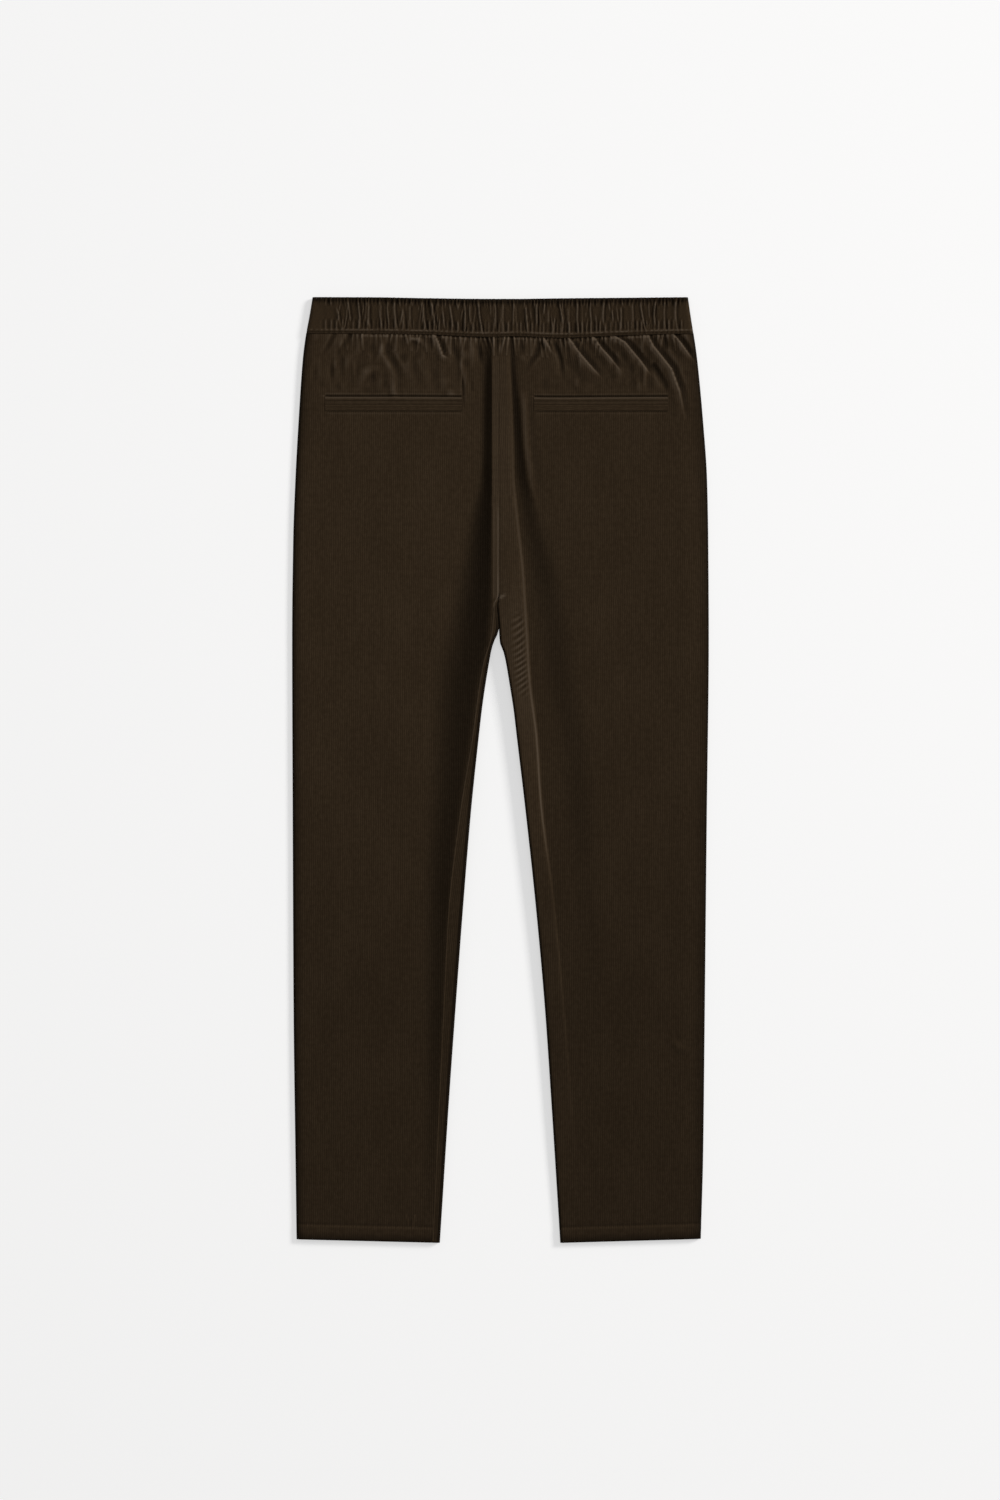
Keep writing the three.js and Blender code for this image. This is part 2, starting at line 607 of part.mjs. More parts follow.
// How far the band's face is rounded back at the waist edge and at the seam
function bandRounding(share) {
  return 1.1 * (1 - smooth(share / 0.07)) + 0.5 * smooth((share - 0.93) / 0.07);
}

function bandPoint(x, share, z, inside) {
  const y = LENGTH / 2 - bandDown(x, share);
  return { point: new THREE.Vector3(x, y, z), normal: new THREE.Vector3(0, 0, 1), inside };
}

// One row of the back band, rolled down at both sides to the side seams
function backBandRow(share) {
  const down = mix(0, 40, share);
  const left = bandOuter.left(down);
  const right = bandOuter.right(down);
  const shut = bandRounding(share);
  const level = BAND_LEVEL - shut;
  const under = BAND_LEVEL - BAND_CLOTH + 0.3 * shut;
  const y = (x) => LENGTH / 2 - bandDown(x, share);
  const edge = Math.asin(SEAM_GAP / 2 / (level - BAND_SIDE_HEIGHT));
  const turn = angles(edge, Math.PI / 2, 3);
  const roll = (angle, sideX, sign) => {
    const x = sideX - sign * BAND_ROLL * (1 - Math.cos(angle));
    const z = BAND_SIDE_HEIGHT + (level - BAND_SIDE_HEIGHT) * Math.sin(angle);
    const insideX = sideX - sign * (BAND_CLOTH + (BAND_ROLL - 2) * (1 - Math.cos(angle)));
    const insideZ = BAND_SIDE_HEIGHT + SEAM_GAP / 2 + (under - BAND_SIDE_HEIGHT - SEAM_GAP / 2) * Math.sin(angle);
    return bandPoint(x, share, z, new THREE.Vector3(insideX, y(insideX), insideZ));
  };
  const points = turn.map((angle) => roll(angle, left, -1));
  const marks = [left + 9, left + 16];
  for (const gather of GATHERS) {
    const middle = mix(gather.top, gather.foot, smooth(share));
    for (const offset of [-2.6, 0, 2.6]) {
      const x = middle + offset;
      if (x > marks.at(-1) + 1.4 && x < right - 9) marks.push(x);
    }
  }
  marks.push(right - 7);
  for (const x of marks) {
    points.push(bandPoint(x, share, level + gathers(x, share), new THREE.Vector3(x, y(x), under)));
  }
  points.push(...turn.reverse().map((angle) => roll(angle, right, 1)));
  return { points };
}

function waistbandBack() {
  return clothWall([0, 0.07, 0.3, 0.65, 0.93, 1].map(backBandRow));
}

const FLOORWARD = new THREE.Vector3(0, 0, -1);

// One row of the front band, flat on the floor between its two rolled sides
function frontBandRow(share) {
  const down = mix(0, 40, share);
  const left = bandOuter.left(down);
  const right = bandOuter.right(down);
  const y = (x) => LENGTH / 2 - mix(waistEdge(x), FRONT_SEAM - SEAM_GAP / 2, share);
  const edge = Math.asin(SEAM_GAP / 2 / BAND_SIDE_HEIGHT);
  const turn = angles(edge, Math.PI / 2, 3);
  const inner = BAND_CLOTH - 0.3 * bandRounding(share);
  const roll = (angle, sideX, sign) => {
    const x = sideX - sign * BAND_ROLL * (1 - Math.cos(angle));
    const z = BAND_SIDE_HEIGHT * (1 - Math.sin(angle));
    const insideX = sideX - sign * (BAND_CLOTH + (BAND_ROLL - 2) * (1 - Math.cos(angle)));
    const insideZ = BAND_SIDE_HEIGHT - SEAM_GAP / 2 - (BAND_SIDE_HEIGHT - SEAM_GAP / 2 - inner) * Math.sin(angle);
    const inside = new THREE.Vector3(insideX, y(insideX), insideZ);
    return { point: new THREE.Vector3(x, y(x), z), normal: FLOORWARD, inside };
  };
  const points = turn.map((angle) => roll(angle, left, -1));
  for (const x of [...spread(left + 12, right - 12, 45)]) {
    const inside = new THREE.Vector3(x, y(x), inner);
    points.push({ point: new THREE.Vector3(x, y(x), 0), normal: FLOORWARD, inside });
  }
  points.push(...turn.reverse().map((angle) => roll(angle, right, 1)));
  return { points };
}

function waistbandFront() {
  return clothWall([0, 0.07, 0.5, 1].map(frontBandRow));
}

// A pocket welt, made from the back panel's points moved out
function welt(half) {
  const { from, to } = WELTS[half.side];
  const rows = [WELT_TOP, WELT_TOP + 1.6, (WELT_TOP + WELT_FOOT) / 2, WELT_FOOT - 1.6, WELT_FOOT].map((row) => {
    const low = row === WELT_TOP || row === WELT_FOOT ? 0.35 : 0;
    const points = spread(from, to, 13).map((out) => {
      const spot = clothPoint(half, 'upper', out, row);
      spot.normal.set(0, 0, 1);
      const inside = spot.point.clone().setZ(spot.point.z + WELT_GAP);
      const point = spot.point.clone().setZ(spot.point.z + WELT_GAP + WELT_CLOTH - low);
      return { point, normal: spot.normal, inside };
    });
    return { points };
  });
  return clothWall(rows);
}

function corduroy(name, colour) {
  return new THREE.MeshStandardMaterial({ name, color: colour, roughness: 0.95, metalness: 0 });
}

function piece(name, geometry, colour) {
  const mesh = new THREE.Mesh(geometry, corduroy(`corduroy_${name}`, colour));
  mesh.name = name;
  return mesh;
}

const leftHalf = makeHalf('left');
const rightHalf = makeHalf('right');
const trousers = new THREE.Group();
trousers.name = 'corduroy_trousers';
trousers.add(
  piece('back_left', backPanel(leftHalf), 0x2c2218),
  piece('back_right', backPanel(rightHalf), 0x2a2117),
  piece('front_left', frontPanel(leftHalf), 0x2b2117),
  piece('front_right', frontPanel(rightHalf), 0x2b2118),
  piece('waistband_back', waistbandBack(), 0x2d231a),
  piece('waistband_front', waistbandFront(), 0x2d231b),
  piece('welt_left', welt(leftHalf), 0x2a2018),
  piece('welt_right', welt(rightHalf), 0x292017),
);

export default trousers;
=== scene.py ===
import math

import bpy
import numpy as np
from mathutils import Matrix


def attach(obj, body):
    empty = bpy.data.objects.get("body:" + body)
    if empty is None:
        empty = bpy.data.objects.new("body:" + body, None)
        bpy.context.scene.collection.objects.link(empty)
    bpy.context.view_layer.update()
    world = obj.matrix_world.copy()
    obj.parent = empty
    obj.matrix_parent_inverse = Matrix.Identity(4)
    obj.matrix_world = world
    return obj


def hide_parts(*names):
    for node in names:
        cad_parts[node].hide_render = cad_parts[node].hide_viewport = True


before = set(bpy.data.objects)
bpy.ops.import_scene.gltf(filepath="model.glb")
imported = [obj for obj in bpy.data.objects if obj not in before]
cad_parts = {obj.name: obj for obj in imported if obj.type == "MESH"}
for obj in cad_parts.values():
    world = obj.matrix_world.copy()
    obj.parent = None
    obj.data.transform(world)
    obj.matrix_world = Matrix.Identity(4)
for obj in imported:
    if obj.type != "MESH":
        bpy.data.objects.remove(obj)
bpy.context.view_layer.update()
print("frame loaded")

# Sizes below are in millimetres and are turned to metres when a mesh is written.
# down = distance below the waist edge, out = distance from the middle towards a side of the garment
mm = 0.001

# camera, floor and lights

cameraSetup = {
    "lens": 85,
    "location": (-0.00055, 0.022, 3.903),  # straight above, so that the whole picture is 1.65 m high
}
floorSetup = {
    "size": 40,
    "colour": (0.60, 0.60, 0.605),
    "roughness": 0.85,
    "glow": 0.53,
}
lightSetup = {
    "key": {"azimuth": 28, "elevation": 30, "distance": 12.0, "size": (3.7, 2.8),
            "power": 980, "colour": (1, 0.985, 0.96)},
    "top": {"azimuth": 80, "elevation": 80, "distance": 3.4, "size": (2.2, 2.2),
            "power": 15, "colour": (1, 1, 1)},
}
worldSetup = {"colour": (1, 0.995, 0.985), "strength": 0.19}


def addCamera(setup):
    bpy.ops.object.camera_add(location=setup["location"], rotation=(0, 0, 0))
    camera = bpy.context.active_object
    camera.name = "camera"
    camera.data.lens = setup["lens"]
    camera.data.sensor_width = 36
    bpy.context.scene.camera = camera


def setInputs(node, values):
    # a value is a number, a colour or another node's output
    for name, value in values.items():
        if isinstance(value, bpy.types.NodeSocket):
            node.id_data.links.new(value, node.inputs[name])
        else:
            node.inputs[name].default_value = value


def addFloor(setup):
    bpy.ops.mesh.primitive_plane_add(size=setup["size"], location=(0, 0, -0.0002))
    floor = bpy.context.active_object
    floor.name = "floor"
    paper = bpy.data.materials.new("palePaper")
    paper.use_nodes = True
    setInputs(paper.node_tree.nodes["Principled BSDF"], {
        "Base Color": (*setup["colour"], 1), "Roughness": setup["roughness"],
        "Emission Color": (1, 1, 1, 1), "Emission Strength": setup["glow"]})
    floor.data.materials.append(paper)


def addLight(name, setup):
    turn, rise = math.radians(setup["azimuth"]), math.radians(setup["elevation"])
    place = [setup["distance"] * part for part in (
        math.cos(rise) * math.cos(turn), math.cos(rise) * math.sin(turn), math.sin(rise))]
    bpy.ops.object.light_add(type="AREA", location=place)
    light = bpy.context.active_object
    light.name = name
    light.rotation_euler = (math.pi / 2 - rise, 0, turn + math.pi / 2)  # faces the garment
    light.data.shape = "RECTANGLE"
    light.data.size, light.data.size_y = setup["size"]
    light.data.energy = setup["power"]
    light.data.color = setup["colour"]


bpy.ops.object.select_all(action="DESELECT")
addCamera(cameraSetup)
addFloor(floorSetup)
for name, setup in lightSetup.items():
    addLight(name, setup)
world = bpy.data.worlds.new("studio")
world.use_nodes = True
setInputs(world.node_tree.nodes["Background"], {
    "Color": (*worldSetup["colour"], 1), "Strength": worldSetup["strength"]})
bpy.context.scene.world = world
bpy.context.scene.view_settings.view_transform = "Standard"
print("camera, floor and lights ready")

# the cut, as in the solids

cut = {
    "length": 1040.6,
    "crotch": 331,
    "cloth": 1.5,
    "gap": 0.24,  # between two pieces at a seam
    "seatSeamX": -1.65,
    "hemDepth": 16,
    "grainLine": 150,  # how far out the wales run straight down
    "partRow": 336,  # the right inseam runs up the middle of the wall to here, and comes down below it
    "partShare": 0.55,
    "sideHeight": 2.6,
    "sideRoll": 5.4,
    "sideUnderRoll": 4,
    "innerRoll": 3,
    "innerUnderRoll": 2.5,
    "waistRow": 42,  # the leg panels' rows start here, and are bent to the waist seam
    "frontSeam": 39.0,
    "frontSeamAside": 2.0,  # the front's centre seam lies beside the back's, so no floor shows through both
}
outline = {  # x of the outer edges
    "down": [0, 20, 36, 69, 135, 201, 267, 377, 564, 784, 949, 1041],
    "left": [-206.9, -210.1, -213.0, -217.6, -222.3, -225.9, -228.3, -229.5, -228.9, -227.9, -225.8, -224.6],
    "right": [206.4, 209.2, 211.6, 216.5, 223.0, 227.5, 228.8, 229.4, 227.3, 225.0, 223.1, 220.6],
}
inside = {  # x of the legs' inner edges, and of the inseam where it shows on the left leg
    "down": [331, 335, 340, 364, 380, 388, 397, 427, 454, 482, 564, 674, 784, 894, 1004, 1041],
    "left": [-1.6, -2.7, -3.4, -1.6, -7.6, -10.0, -11.7, -16.7, -20.5, -23.7, -32.3, -41.4, -49.6, -57.4, -64.4,
             -66.8],
    "right": [-1.75, -2.85, -3.55, -1.75, -0.6, 2.6, 5.0, 10.2, 14.4, 17.7, 27.4, 39.2, 49.0, 56.5, 63.5, 65.8],
    "inseam": [-2.4, -5.0, -7.2, -9.4, -12.2, -15.0, -18.0, -23.6, -27.2, -31.0, -44.4, -57.5, -63.2, -68.5,
               -73.5, -75.4],
}
waistLines = {  # how far down the waist edge and the waist seam lie
    "x": [-229, -140, -83, -11, 16, 65, 131, 197, 229],
    "edge": [0, 0.2, 1.2, 2.0, 2.0, 1.4, 0.8, 0.2, 0],
    "seam": [40.2, 40.4, 41.3, 44.0, 43.2, 45.1, 42.5, 40.7, 40.5],
}
crotchLine = {"down": [327, 331, 335], "out": [1.62, 2.55, 5.0]}  # from the seat seam to the left inseam
levels = {"down": [40, 100, 220, 420, 1041], "level": [7.4, 6.9, 6.6, 6.4, 6.3]}
seatFold = {  # the raised fold down the seat, and what it becomes along the two inner thighs
    "down": [45, 81, 139, 196, 230, 264, 298, 331, 377, 421, 487, 553, 663, 773, 883, 960, 1010],
    "foot": [20, 18.8, 19, 21, 30, 38, 46, 54, 65, 74, 79, 81.5, 84, 83, 84, 86, 88],
    "top": [9.7, 9.6, 9.6, 9.6, 9.6, 9.6, 9.6, 9.6, 12.2, 22.6, 32.4, 43, 56.6, 63.2, 68.2, 72, 74],
    "rise": [2.2, 4.8, 6.2, 6.8, 7.0, 7.2, 7.2, 7.2, 7.0, 6.6, 6.0, 5.4, 4.4, 3.2, 1.8, 0.7, 0],
    "seam": [2.1, 4.5, 5.8, 6.3, 6.6, 6.8, 7.1, 7.4, 7.1, 6.6, 5.8, 5.2, 4.2, 3.0, 1.7, 0.6, 0],
    "crest": [6.2, 7.2, 9.6, 11, 14.2, 18, 21.8, 24.2, 27.2, 30, 38.2, 42.6, 56, 66.6, 75, 80, 82],
    "right": [1.9, 4.2, 5.4, 5.8, 6.0, 6.0, 6.0, 5.8, 5.2, 4.6, 4.0, 3.4, 2.4, 1.4, 0.6, 0.2, 0],
    "low": [10.6, 11.6, 13.9, 15.3, 18.5, 22, 25.6, 28, 31, 33.7, 41.6, 45.8, 59, 69.6, 79, 85, 88],
    "dip": [0.8, 1.4, 2.4, 2.9, 3.1, 3.2, 3.0, 2.7, 2.2, 1.8, 1.3, 1.0, 0.7, 0.4, 0.2, 0, 0],
    "far": [20, 22, 25, 30, 44, 58, 70, 80, 90, 96, 102, 108, 112, 116, 118, 120, 120],
}
foldShading = {  # painted light and shade on the seat fold: how light its top and crest are painted as highlight, and how dark its flank and valley are painted as shade
    "down": [45, 91, 168, 245, 289, 355, 421, 487, 553, 663, 773, 883, 1010],
    "flank": [0.5, 0.6, 0.6, 0.9, 0.95, 0.95, 0.75, 0.65, 0.6, 0.5, 0.4, 0.25, 0.1],
    "top": [0.1, 0.18, 0.18, 0.16, 0.12, 0.22, 0.28, 0.22, 0.12, 0, -0.05, 0, 0],
    "crest": [0, 0.1, 0.15, 0.45, 0.5, 0.6, 0.7, 0.85, 0.9, 0.1, 0, 0, 0],
    "valleyAt": [12, 15, 20, 33.5, 43.5, 56.6, 65.5, 80, 86, 95, 100, 100, 100],
    "valleyWide": [4, 5, 7, 12, 20, 26, 24, 24, 24, 20, 20, 20, 20],
    "valley": [0.5, 0.7, 0.55, 0.42, 0.45, 0.35, 0.3, 0.25, 0.25, 0.1, 0.05, 0, 0],
}


def crease(x, down, height, left, flank, start=0.15, dip=0, right=4):
    # a bent line that rises slowly over its left, falls over its flank and has a hollow, dip deep, on its right;
    # start is the share of its length over which it rises from nothing, and a trough has a height below 0
    return dict(x=x, down=down, height=height, left=left, flank=flank, start=start, dip=dip, right=right)


waistFolds = [  # they run down from the gathered waist seam
    crease([-148, -158, -174], [36, 58, 92], 1.1, 12, 9),
    crease([-181, -188, -197], [38, 52, 70], -0.8, 4, 5),
    crease([-165, -171, -182], [38, 52, 70], -0.9, 4, 5),
    crease([-140, -132, -129, -131], [80, 64, 52, 36], 1.4, 10, 6, start=0.5),
    crease([-125, -124, -114, -104], [40, 62, 78, 104], -2.0, 8, 8, start=0.3),
    crease([-160, -150, -126], [108, 84, 76], 1.1, 8, 9, start=0.5),
    crease([-108, -98, -86, -76], [56, 46, 50, 66], 1.4, 5, 7, start=0.4),
    crease([-101, -96, -86], [54, 74, 106], -1.3, 8, 8, start=0.4),
    crease([-117, -118, -115], [84, 102, 124], 1.1, 7, 7, start=0.5),
    crease([-76, -68.5, -64, -56], [36, 50, 64, 68], 1.9, 8, 2.2, dip=0.8, right=7),
    crease([-50, -50, -46], [38, 56, 80], -1.7, 8, 6),
    crease([-74, -73, -68], [60, 80, 108], -1.0, 9, 8, start=0.4),
    crease([-25, -23, -21], [38, 56, 78], -1.3, 4, 4),
    crease([24, 28, 33, 44], [90, 160, 200, 250], 1.5, 8, 8),
    crease([45, 39, 24], [44, 62, 86], -1.2, 5, 5),
    crease([45.7, 51, 58], [38, 48, 62], 1.6, 6, 2, dip=0.4, right=4),
    crease([59, 66.6, 70], [42, 66, 94], -1.7, 5, 3.5),
    crease([71, 86.9, 101, 114], [36, 60, 77, 92], 2.1, 18, 2.4, dip=0.5, right=10),
    crease([97, 110.2, 123, 134], [34, 54, 69, 84], 2.1, 11, 2, dip=0.9, right=7),
    crease([116, 137.3, 155, 168], [37, 50, 72, 90], 2.4, 14, 2, dip=0.9, right=8),
    crease([158, 168, 188, 197, 206], [35, 55, 80, 104, 150], 2.5, 14, 2.5, dip=0.7, right=8),
    crease([183, 199, 216], [34, 53, 76], 2.1, 12, 2, dip=1.1, right=8),
    crease([166, 174, 187], [72, 84, 106], -1.4, 7, 5),
]
waistLumps = {  # soft lumps and hollows between the folds: middle, half width, half length and height
    "x": [-143, -63, -33, -176, 130, -142, -55, 150, 96, 52],
    "down": [90, 95, 62, 54, 83, 104, 106, 100, 98, 96],
    "wide": [14, 15, 7, 6, 9, 16, 8, 14, 16, 14],
    "long": [16, 16, 22, 14, 14, 9, 8, 10, 12, 12],
    "height": [-0.8, 0.8, 0.9, 0.6, 1.1, -0.7, 0.8, 0.5, 0.6, -0.5],
}


def smooth(value):
    t = np.clip(value, 0, 1)
    return t * t * (3 - 2 * t)


def mix(a, b, t):
    return a + (b - a) * t


def curve(table, column, key="down"):
    # a smooth curve through one column, with no overshoot
    x, y = np.array(table[key], float), np.array(table[column], float)
    steps = np.diff(y) / np.diff(x)
    slopes = np.concatenate([steps[:1], np.zeros(len(x) - 2), steps[-1:]])
    for i in range(1, len(x) - 1):
        if steps[i - 1] * steps[i] > 0:
            slopes[i] = 2 * steps[i - 1] * steps[i] / (steps[i - 1] + steps[i])

    def at(value):
        value = np.clip(value, x[0], x[-1])
        i = np.clip(np.searchsorted(x, value, side="right") - 1, 0, len(x) - 2)
        wide = x[i + 1] - x[i]
        t = (value - x[i]) / wide
        ends = t * (1 - t) ** 2 * wide * slopes[i] - t * t * (1 - t) * wide * slopes[i + 1]
        return mix(y[i], y[i + 1], smooth(t)) + ends

    return at


waistEdge, waistSeam = curve(waistLines, "edge", "x"), curve(waistLines, "seam", "x")
levelAt = curve(levels, "level")
foldAt = {name: curve(seatFold, name) for name in seatFold if name != "down"}
foldShadingAt = {name: curve(foldShading, name) for name in foldShading if name != "down"}
crotchAt, inseamAt = curve(crotchLine, "out"), curve(inside, "inseam")
outerAt = {side: curve(outline, side) for side in ("left", "right")}


def leftInseam(row):
    return np.where(row < crotchLine["down"][-1], crotchAt(row), -inseamAt(row))


def fade(value):
    return 1 - smooth(value)


def ease(value, start, wide):
    # from 0 at the start to 1 at a width beyond it
    return smooth((value - start) / wide)


def fall(value, start, wide):
    return 1 - ease(value, start, wide)


def part(value, start, end):
    return np.clip((value - start) / (end - start), 0, 1)


def foldParts(down, *names):
    return [foldAt[name](down) for name in names]


def bump(distance, reach):
    # 1 in the middle and 0 from reach on, on both sides
    return 0.5 + 0.5 * np.cos(np.pi * np.minimum(np.abs(distance) / reach, 1))


def foldShape(side, line):
    flank, dip = line["flank"], line["dip"]
    beyond = -dip * bump(side - flank, line["right"])
    return np.where(side < 0, bump(-side, line["left"]),
                    np.where(side < flank, mix(1, -dip, smooth(side / flank)), beyond))


def foldSide(x, down, line):
    # distance from a bent line, above 0 on its right, and how far along the line the nearest point is
    nearest, side, along = (np.full(np.shape(x), value) for value in (1e9, 0.0, 0.0))
    count = len(line["x"]) - 1
    for i in range(count):
        startX, startDown = line["x"][i], line["down"][i]
        dx, dd = line["x"][i + 1] - startX, line["down"][i + 1] - startDown
        t = np.clip(((x - startX) * dx + (down - startDown) * dd) / (dx * dx + dd * dd), 0, 1)
        awayX, awayDown = x - startX - dx * t, down - startDown - dd * t
        distance = np.hypot(awayX, awayDown)
        closer = distance < nearest
        nearest = np.where(closer, distance, nearest)
        side = np.where(closer, np.where(awayX * dd >= awayDown * dx, distance, -distance), side)
        along = np.where(closer, (i + t) / count, along)
    return side, along


def foldHeights(x, down, lines):
    x, down = np.broadcast_arrays(x, down)
    total = np.zeros(x.shape)
    for line in lines:
        wide = line["left"] + line["flank"] + line["right"]
        near = ((down > min(line["down"])) & (down < max(line["down"]) + wide)
                & (x > min(line["x"]) - wide) & (x < max(line["x"]) + wide))
        if near.any():
            side, along = foldSide(x[near], down[near], line)
            ends = smooth(along / line["start"]) * fall(along, 0.5, 0.5)
            total[near] += line["height"] * ends * foldShape(side, line)
    return total


def looseLumps(seed, count):
    # small uneven lumps that gathering leaves all over the cloth below the waist seam
    dice = np.random.default_rng(seed)
    return {
        "x": dice.uniform(-205, 208, count), "down": 44 + 62 * dice.random(count) ** 1.3,
        "wide": dice.uniform(3.5, 8, count), "long": dice.uniform(8, 22, count),
        "height": dice.choice([-0.6, 0.6], count) * dice.uniform(0.4, 1.2, count),
    }


smallLumps = looseLumps(5, 120)


def lumpHeights(x, down, lumps):
    total = np.zeros(np.shape(x))
    for middle, at, wide, long, height in zip(*(lumps[name] for name in ("x", "down", "wide", "long", "height"))):
        near = (np.abs(x - middle) < wide) & (np.abs(down - at) < long)
        if near.any():
            total[near] += height * bump(np.hypot((x[near] - middle) / wide, (down[near] - at) / long), 1)
    return total


def leftSeatFold(out, down):
    top, foot, rise, seam = foldParts(down, "top", "foot", "rise", "seam")
    return np.where(out >= top, rise * part(out, foot, top) ** 2.1, mix(rise, seam, part(out, top, top - 9)))


def rightSeatFold(out, down):
    crest, low, far, right, dip, seam = foldParts(down, "crest", "low", "far", "right", "dip", "seam")
    beyond = -dip * fade((out - low) / (far - low))
    flank = mix(right, -dip, smooth((out - crest) / (low - crest)))
    onTop = mix(right, seam, part(out, crest, crest - 14))
    return np.where(out >= low, beyond, np.where(out >= crest, flank, onTop))


# fine relief that the solids leave out

reliefSetup = {
    "seed": 7,
    "seamEdge": 0.9,  # how far the panels' top edge is rounded back at the waist seam
    "crimps": 2.1,  # small gathers below the waist seam
    "seatSeam": 0.3,
    "slit": {"down": 108.9, "wide": 1.3, "deep": 1.6},
    "hemStitch": 0.2,
    "hemStep": 0.45,
    "waves": 0.22,
    "puckers": 0.38,
}
smallFolds = [  # creases of the legs
    crease([-94, -95, -97], [1009, 1017, 1030], 0.5, 2.4, 2),
    crease([-104, -102, -100], [1009, 1017, 1030], 0.4, 2.2, 2),
    crease([184, 196, 214], [814, 822, 827], 0.8, 8, 7, start=0.5),
    crease([-42.2, -41.4, -40.2], [82, 98, 128], -1.3, 1.6, 1.6, start=0.4),
]
welts = {  # out from the middle, and down; each lies in a hollow pressed into the panel
    "left": {"from": 42.4, "to": 193},
    "right": {"from": 36.9, "to": 184.3},
    "top": 110.2,
    "foot": 125.4,
    "cloth": 1.2,
    "gap": 0.35,
    "sunk": 1.25,
    "columns": 170,
    "rows": 20,
}


def weltHollow(side, out, down):
    ends = welts[side]
    across = ease(out, ends["from"], 5) * ease(ends["to"], out, 5)
    along = smooth(down - welts["top"] + 1.2) * smooth((welts["foot"] + 0.5 - down) / 0.9)
    return welts["sunk"] * across * along


def crimpLines(seed, start, end, pitch):
    # small uneven gathers from one end of a seam to the other
    dice = np.random.default_rng(seed)
    lines, x = [], start
    while x < end:
        lines.append((x, dice.uniform(0.35, 1), dice.uniform(4, 15), dice.uniform(-0.25, 0.3)))
        x += pitch * dice.uniform(0.72, 1.35)
    return lines


seamCrimps = crimpLines(reliefSetup["seed"], -172, 200, 4.7)


def crimpHeight(x, below):
    height = np.zeros(np.shape(x))
    near = below < 20
    if near.any():
        xn, bn = x[near], below[near]
        height[near] = sum(
            size * bump(xn - at - slant * bn, 2.2) * np.exp(-bn / long)
            for at, size, long, slant in seamCrimps) - 0.3 * np.exp(-bn / 8)
    return height * reliefSetup["crimps"] * ease(x, -176, 12) * smooth((204 - x) / 10)


def puckers(out, down):
    # slanting puckers between the right inner edge and the crest of its fold
    strip = ease(down, 340, 20) * fall(down, 425, 22)
    across = bump(out - foldAt["crest"](down) + 7, 11)
    wave = np.sin((down + 0.6 * out) * 2 * np.pi / 7.0 + 1.5 * np.sin(down / 13) + 0.7 * np.sin(out / 4))
    return strip * across * wave


def waves(x, down):
    return (np.sin(x / 17 + 0.8 * np.sin(down / 61)) * np.sin(down / 83 + 1.3)
            + 0.7 * np.sin(x / 31 - down / 47 + 2) + 0.5 * np.sin(down / 29 + x / 55))


def fineRelief(half, out, down):
    x = half["sign"] * out
    setup = reliefSetup
    below = down - waistSeam(x)
    z = -setup["seamEdge"] * np.exp(-np.maximum(below, 0) / 1.1) + crimpHeight(x, below)
    depth = 0.25 + 0.75 * ease(down, 195, 40)
    seatEdge = np.where(down < cut["crotch"] + 4, np.exp(-np.abs(out - half["seam"]) / 1.1), 0)
    z -= setup["seatSeam"] * depth * seatEdge
    slit, pocket = setup["slit"], welts[half["side"]]
    ends = smooth((out - pocket["from"] + 1) / 2) * smooth((pocket["to"] + 1 - out) / 2)
    z -= slit["deep"] * ends * bump(down - slit["down"], slit["wide"])
    z -= setup["hemStitch"] * bump(cut["length"] - down - cut["hemDepth"], 1.3)
    z += setup["waves"] * waves(x, down) * ease(down, 60, 60) * ease(cut["length"], down, 90)
    z += foldHeights(x, down, smallFolds)
    if not half["left"]:
        z += setup["puckers"] * puckers(out, down)
    return z


# the two halves

def makeHalf(side):
    sign = -1 if side == "left" else 1
    innerX = curve(inside, side)
    seam = sign * cut["seatSeamX"] + cut["gap"] / 2
    slant = {"left": 3.8, "right": 4.4}[side]
    half = {"side": side, "left": side == "left", "sign": sign, "seam": seam,
            "frontSeam": seam - sign * cut["frontSeamAside"]}
    half["outer"] = lambda down: sign * outerAt[side](down)
    half["inner"] = lambda down: np.where(down < cut["crotch"], seam, np.maximum(sign * innerX(down), -3.7))
    fold = leftSeatFold if side == "left" else rightSeatFold
    ownFolds = [line for line in waistFolds if line["x"][0] * sign > 0]

    def height(out, down, fine=True):
        lift = sum(fold(out + shift, down) for shift in (-0.6, 0, 0.6)) / 3
        near = smooth(1 - (half["outer"](down) - out) / 26)
        rim = smooth(1 - (half["outer"](down) - out) / 9)
        z = levelAt(down) + lift - 0.5 * near - weltHollow(side, out, down)
        z = z + reliefSetup["hemStep"] * smooth((down - cut["length"] + cut["hemDepth"] + 1.5) / 3)
        x, down = np.broadcast_arrays(sign * out, down)
        calm = ease(out, 11, 6) * fall(down, 96, 12)
        loose = lumpHeights(x, down, waistLumps) + lumpHeights(x, down, smallLumps) * calm
        z = z + (foldHeights(x, down, ownFolds) + loose) * (1 - rim) * (1 if fine else 0.4)
        return z + fineRelief(half, out, down) * (1 - 0.7 * rim) if fine else z

    def rowDown(out, row, front=False):
        seamDown = cut["frontSeam"] if front else waistSeam(sign * out)
        waist = (seamDown - cut["waistRow"]) * fall(row, cut["waistRow"], 90)
        across = np.maximum((out - 67) / 156, 0)
        return row + waist - slant * across * smooth((row - cut["length"] + 110) / 90)

    half["height"], half["down"], half["fold"] = height, rowDown, fold
    return half


def stretchOver(u, stops, places):
    # piecewise: u at each stop gives the place beside it, which may change from row to row
    result = places[0] + 0 * u
    for i in range(len(stops) - 1):
        result = result + (places[i + 1] - places[i]) * part(u, stops[i], stops[i + 1])
    return result


def toSpace(half, out, row, z, front=False):
    y = cut["length"] / 2 - half["down"](out, row, front)
    return np.stack([half["sign"] * out, y, z], axis=-1)


# making meshes

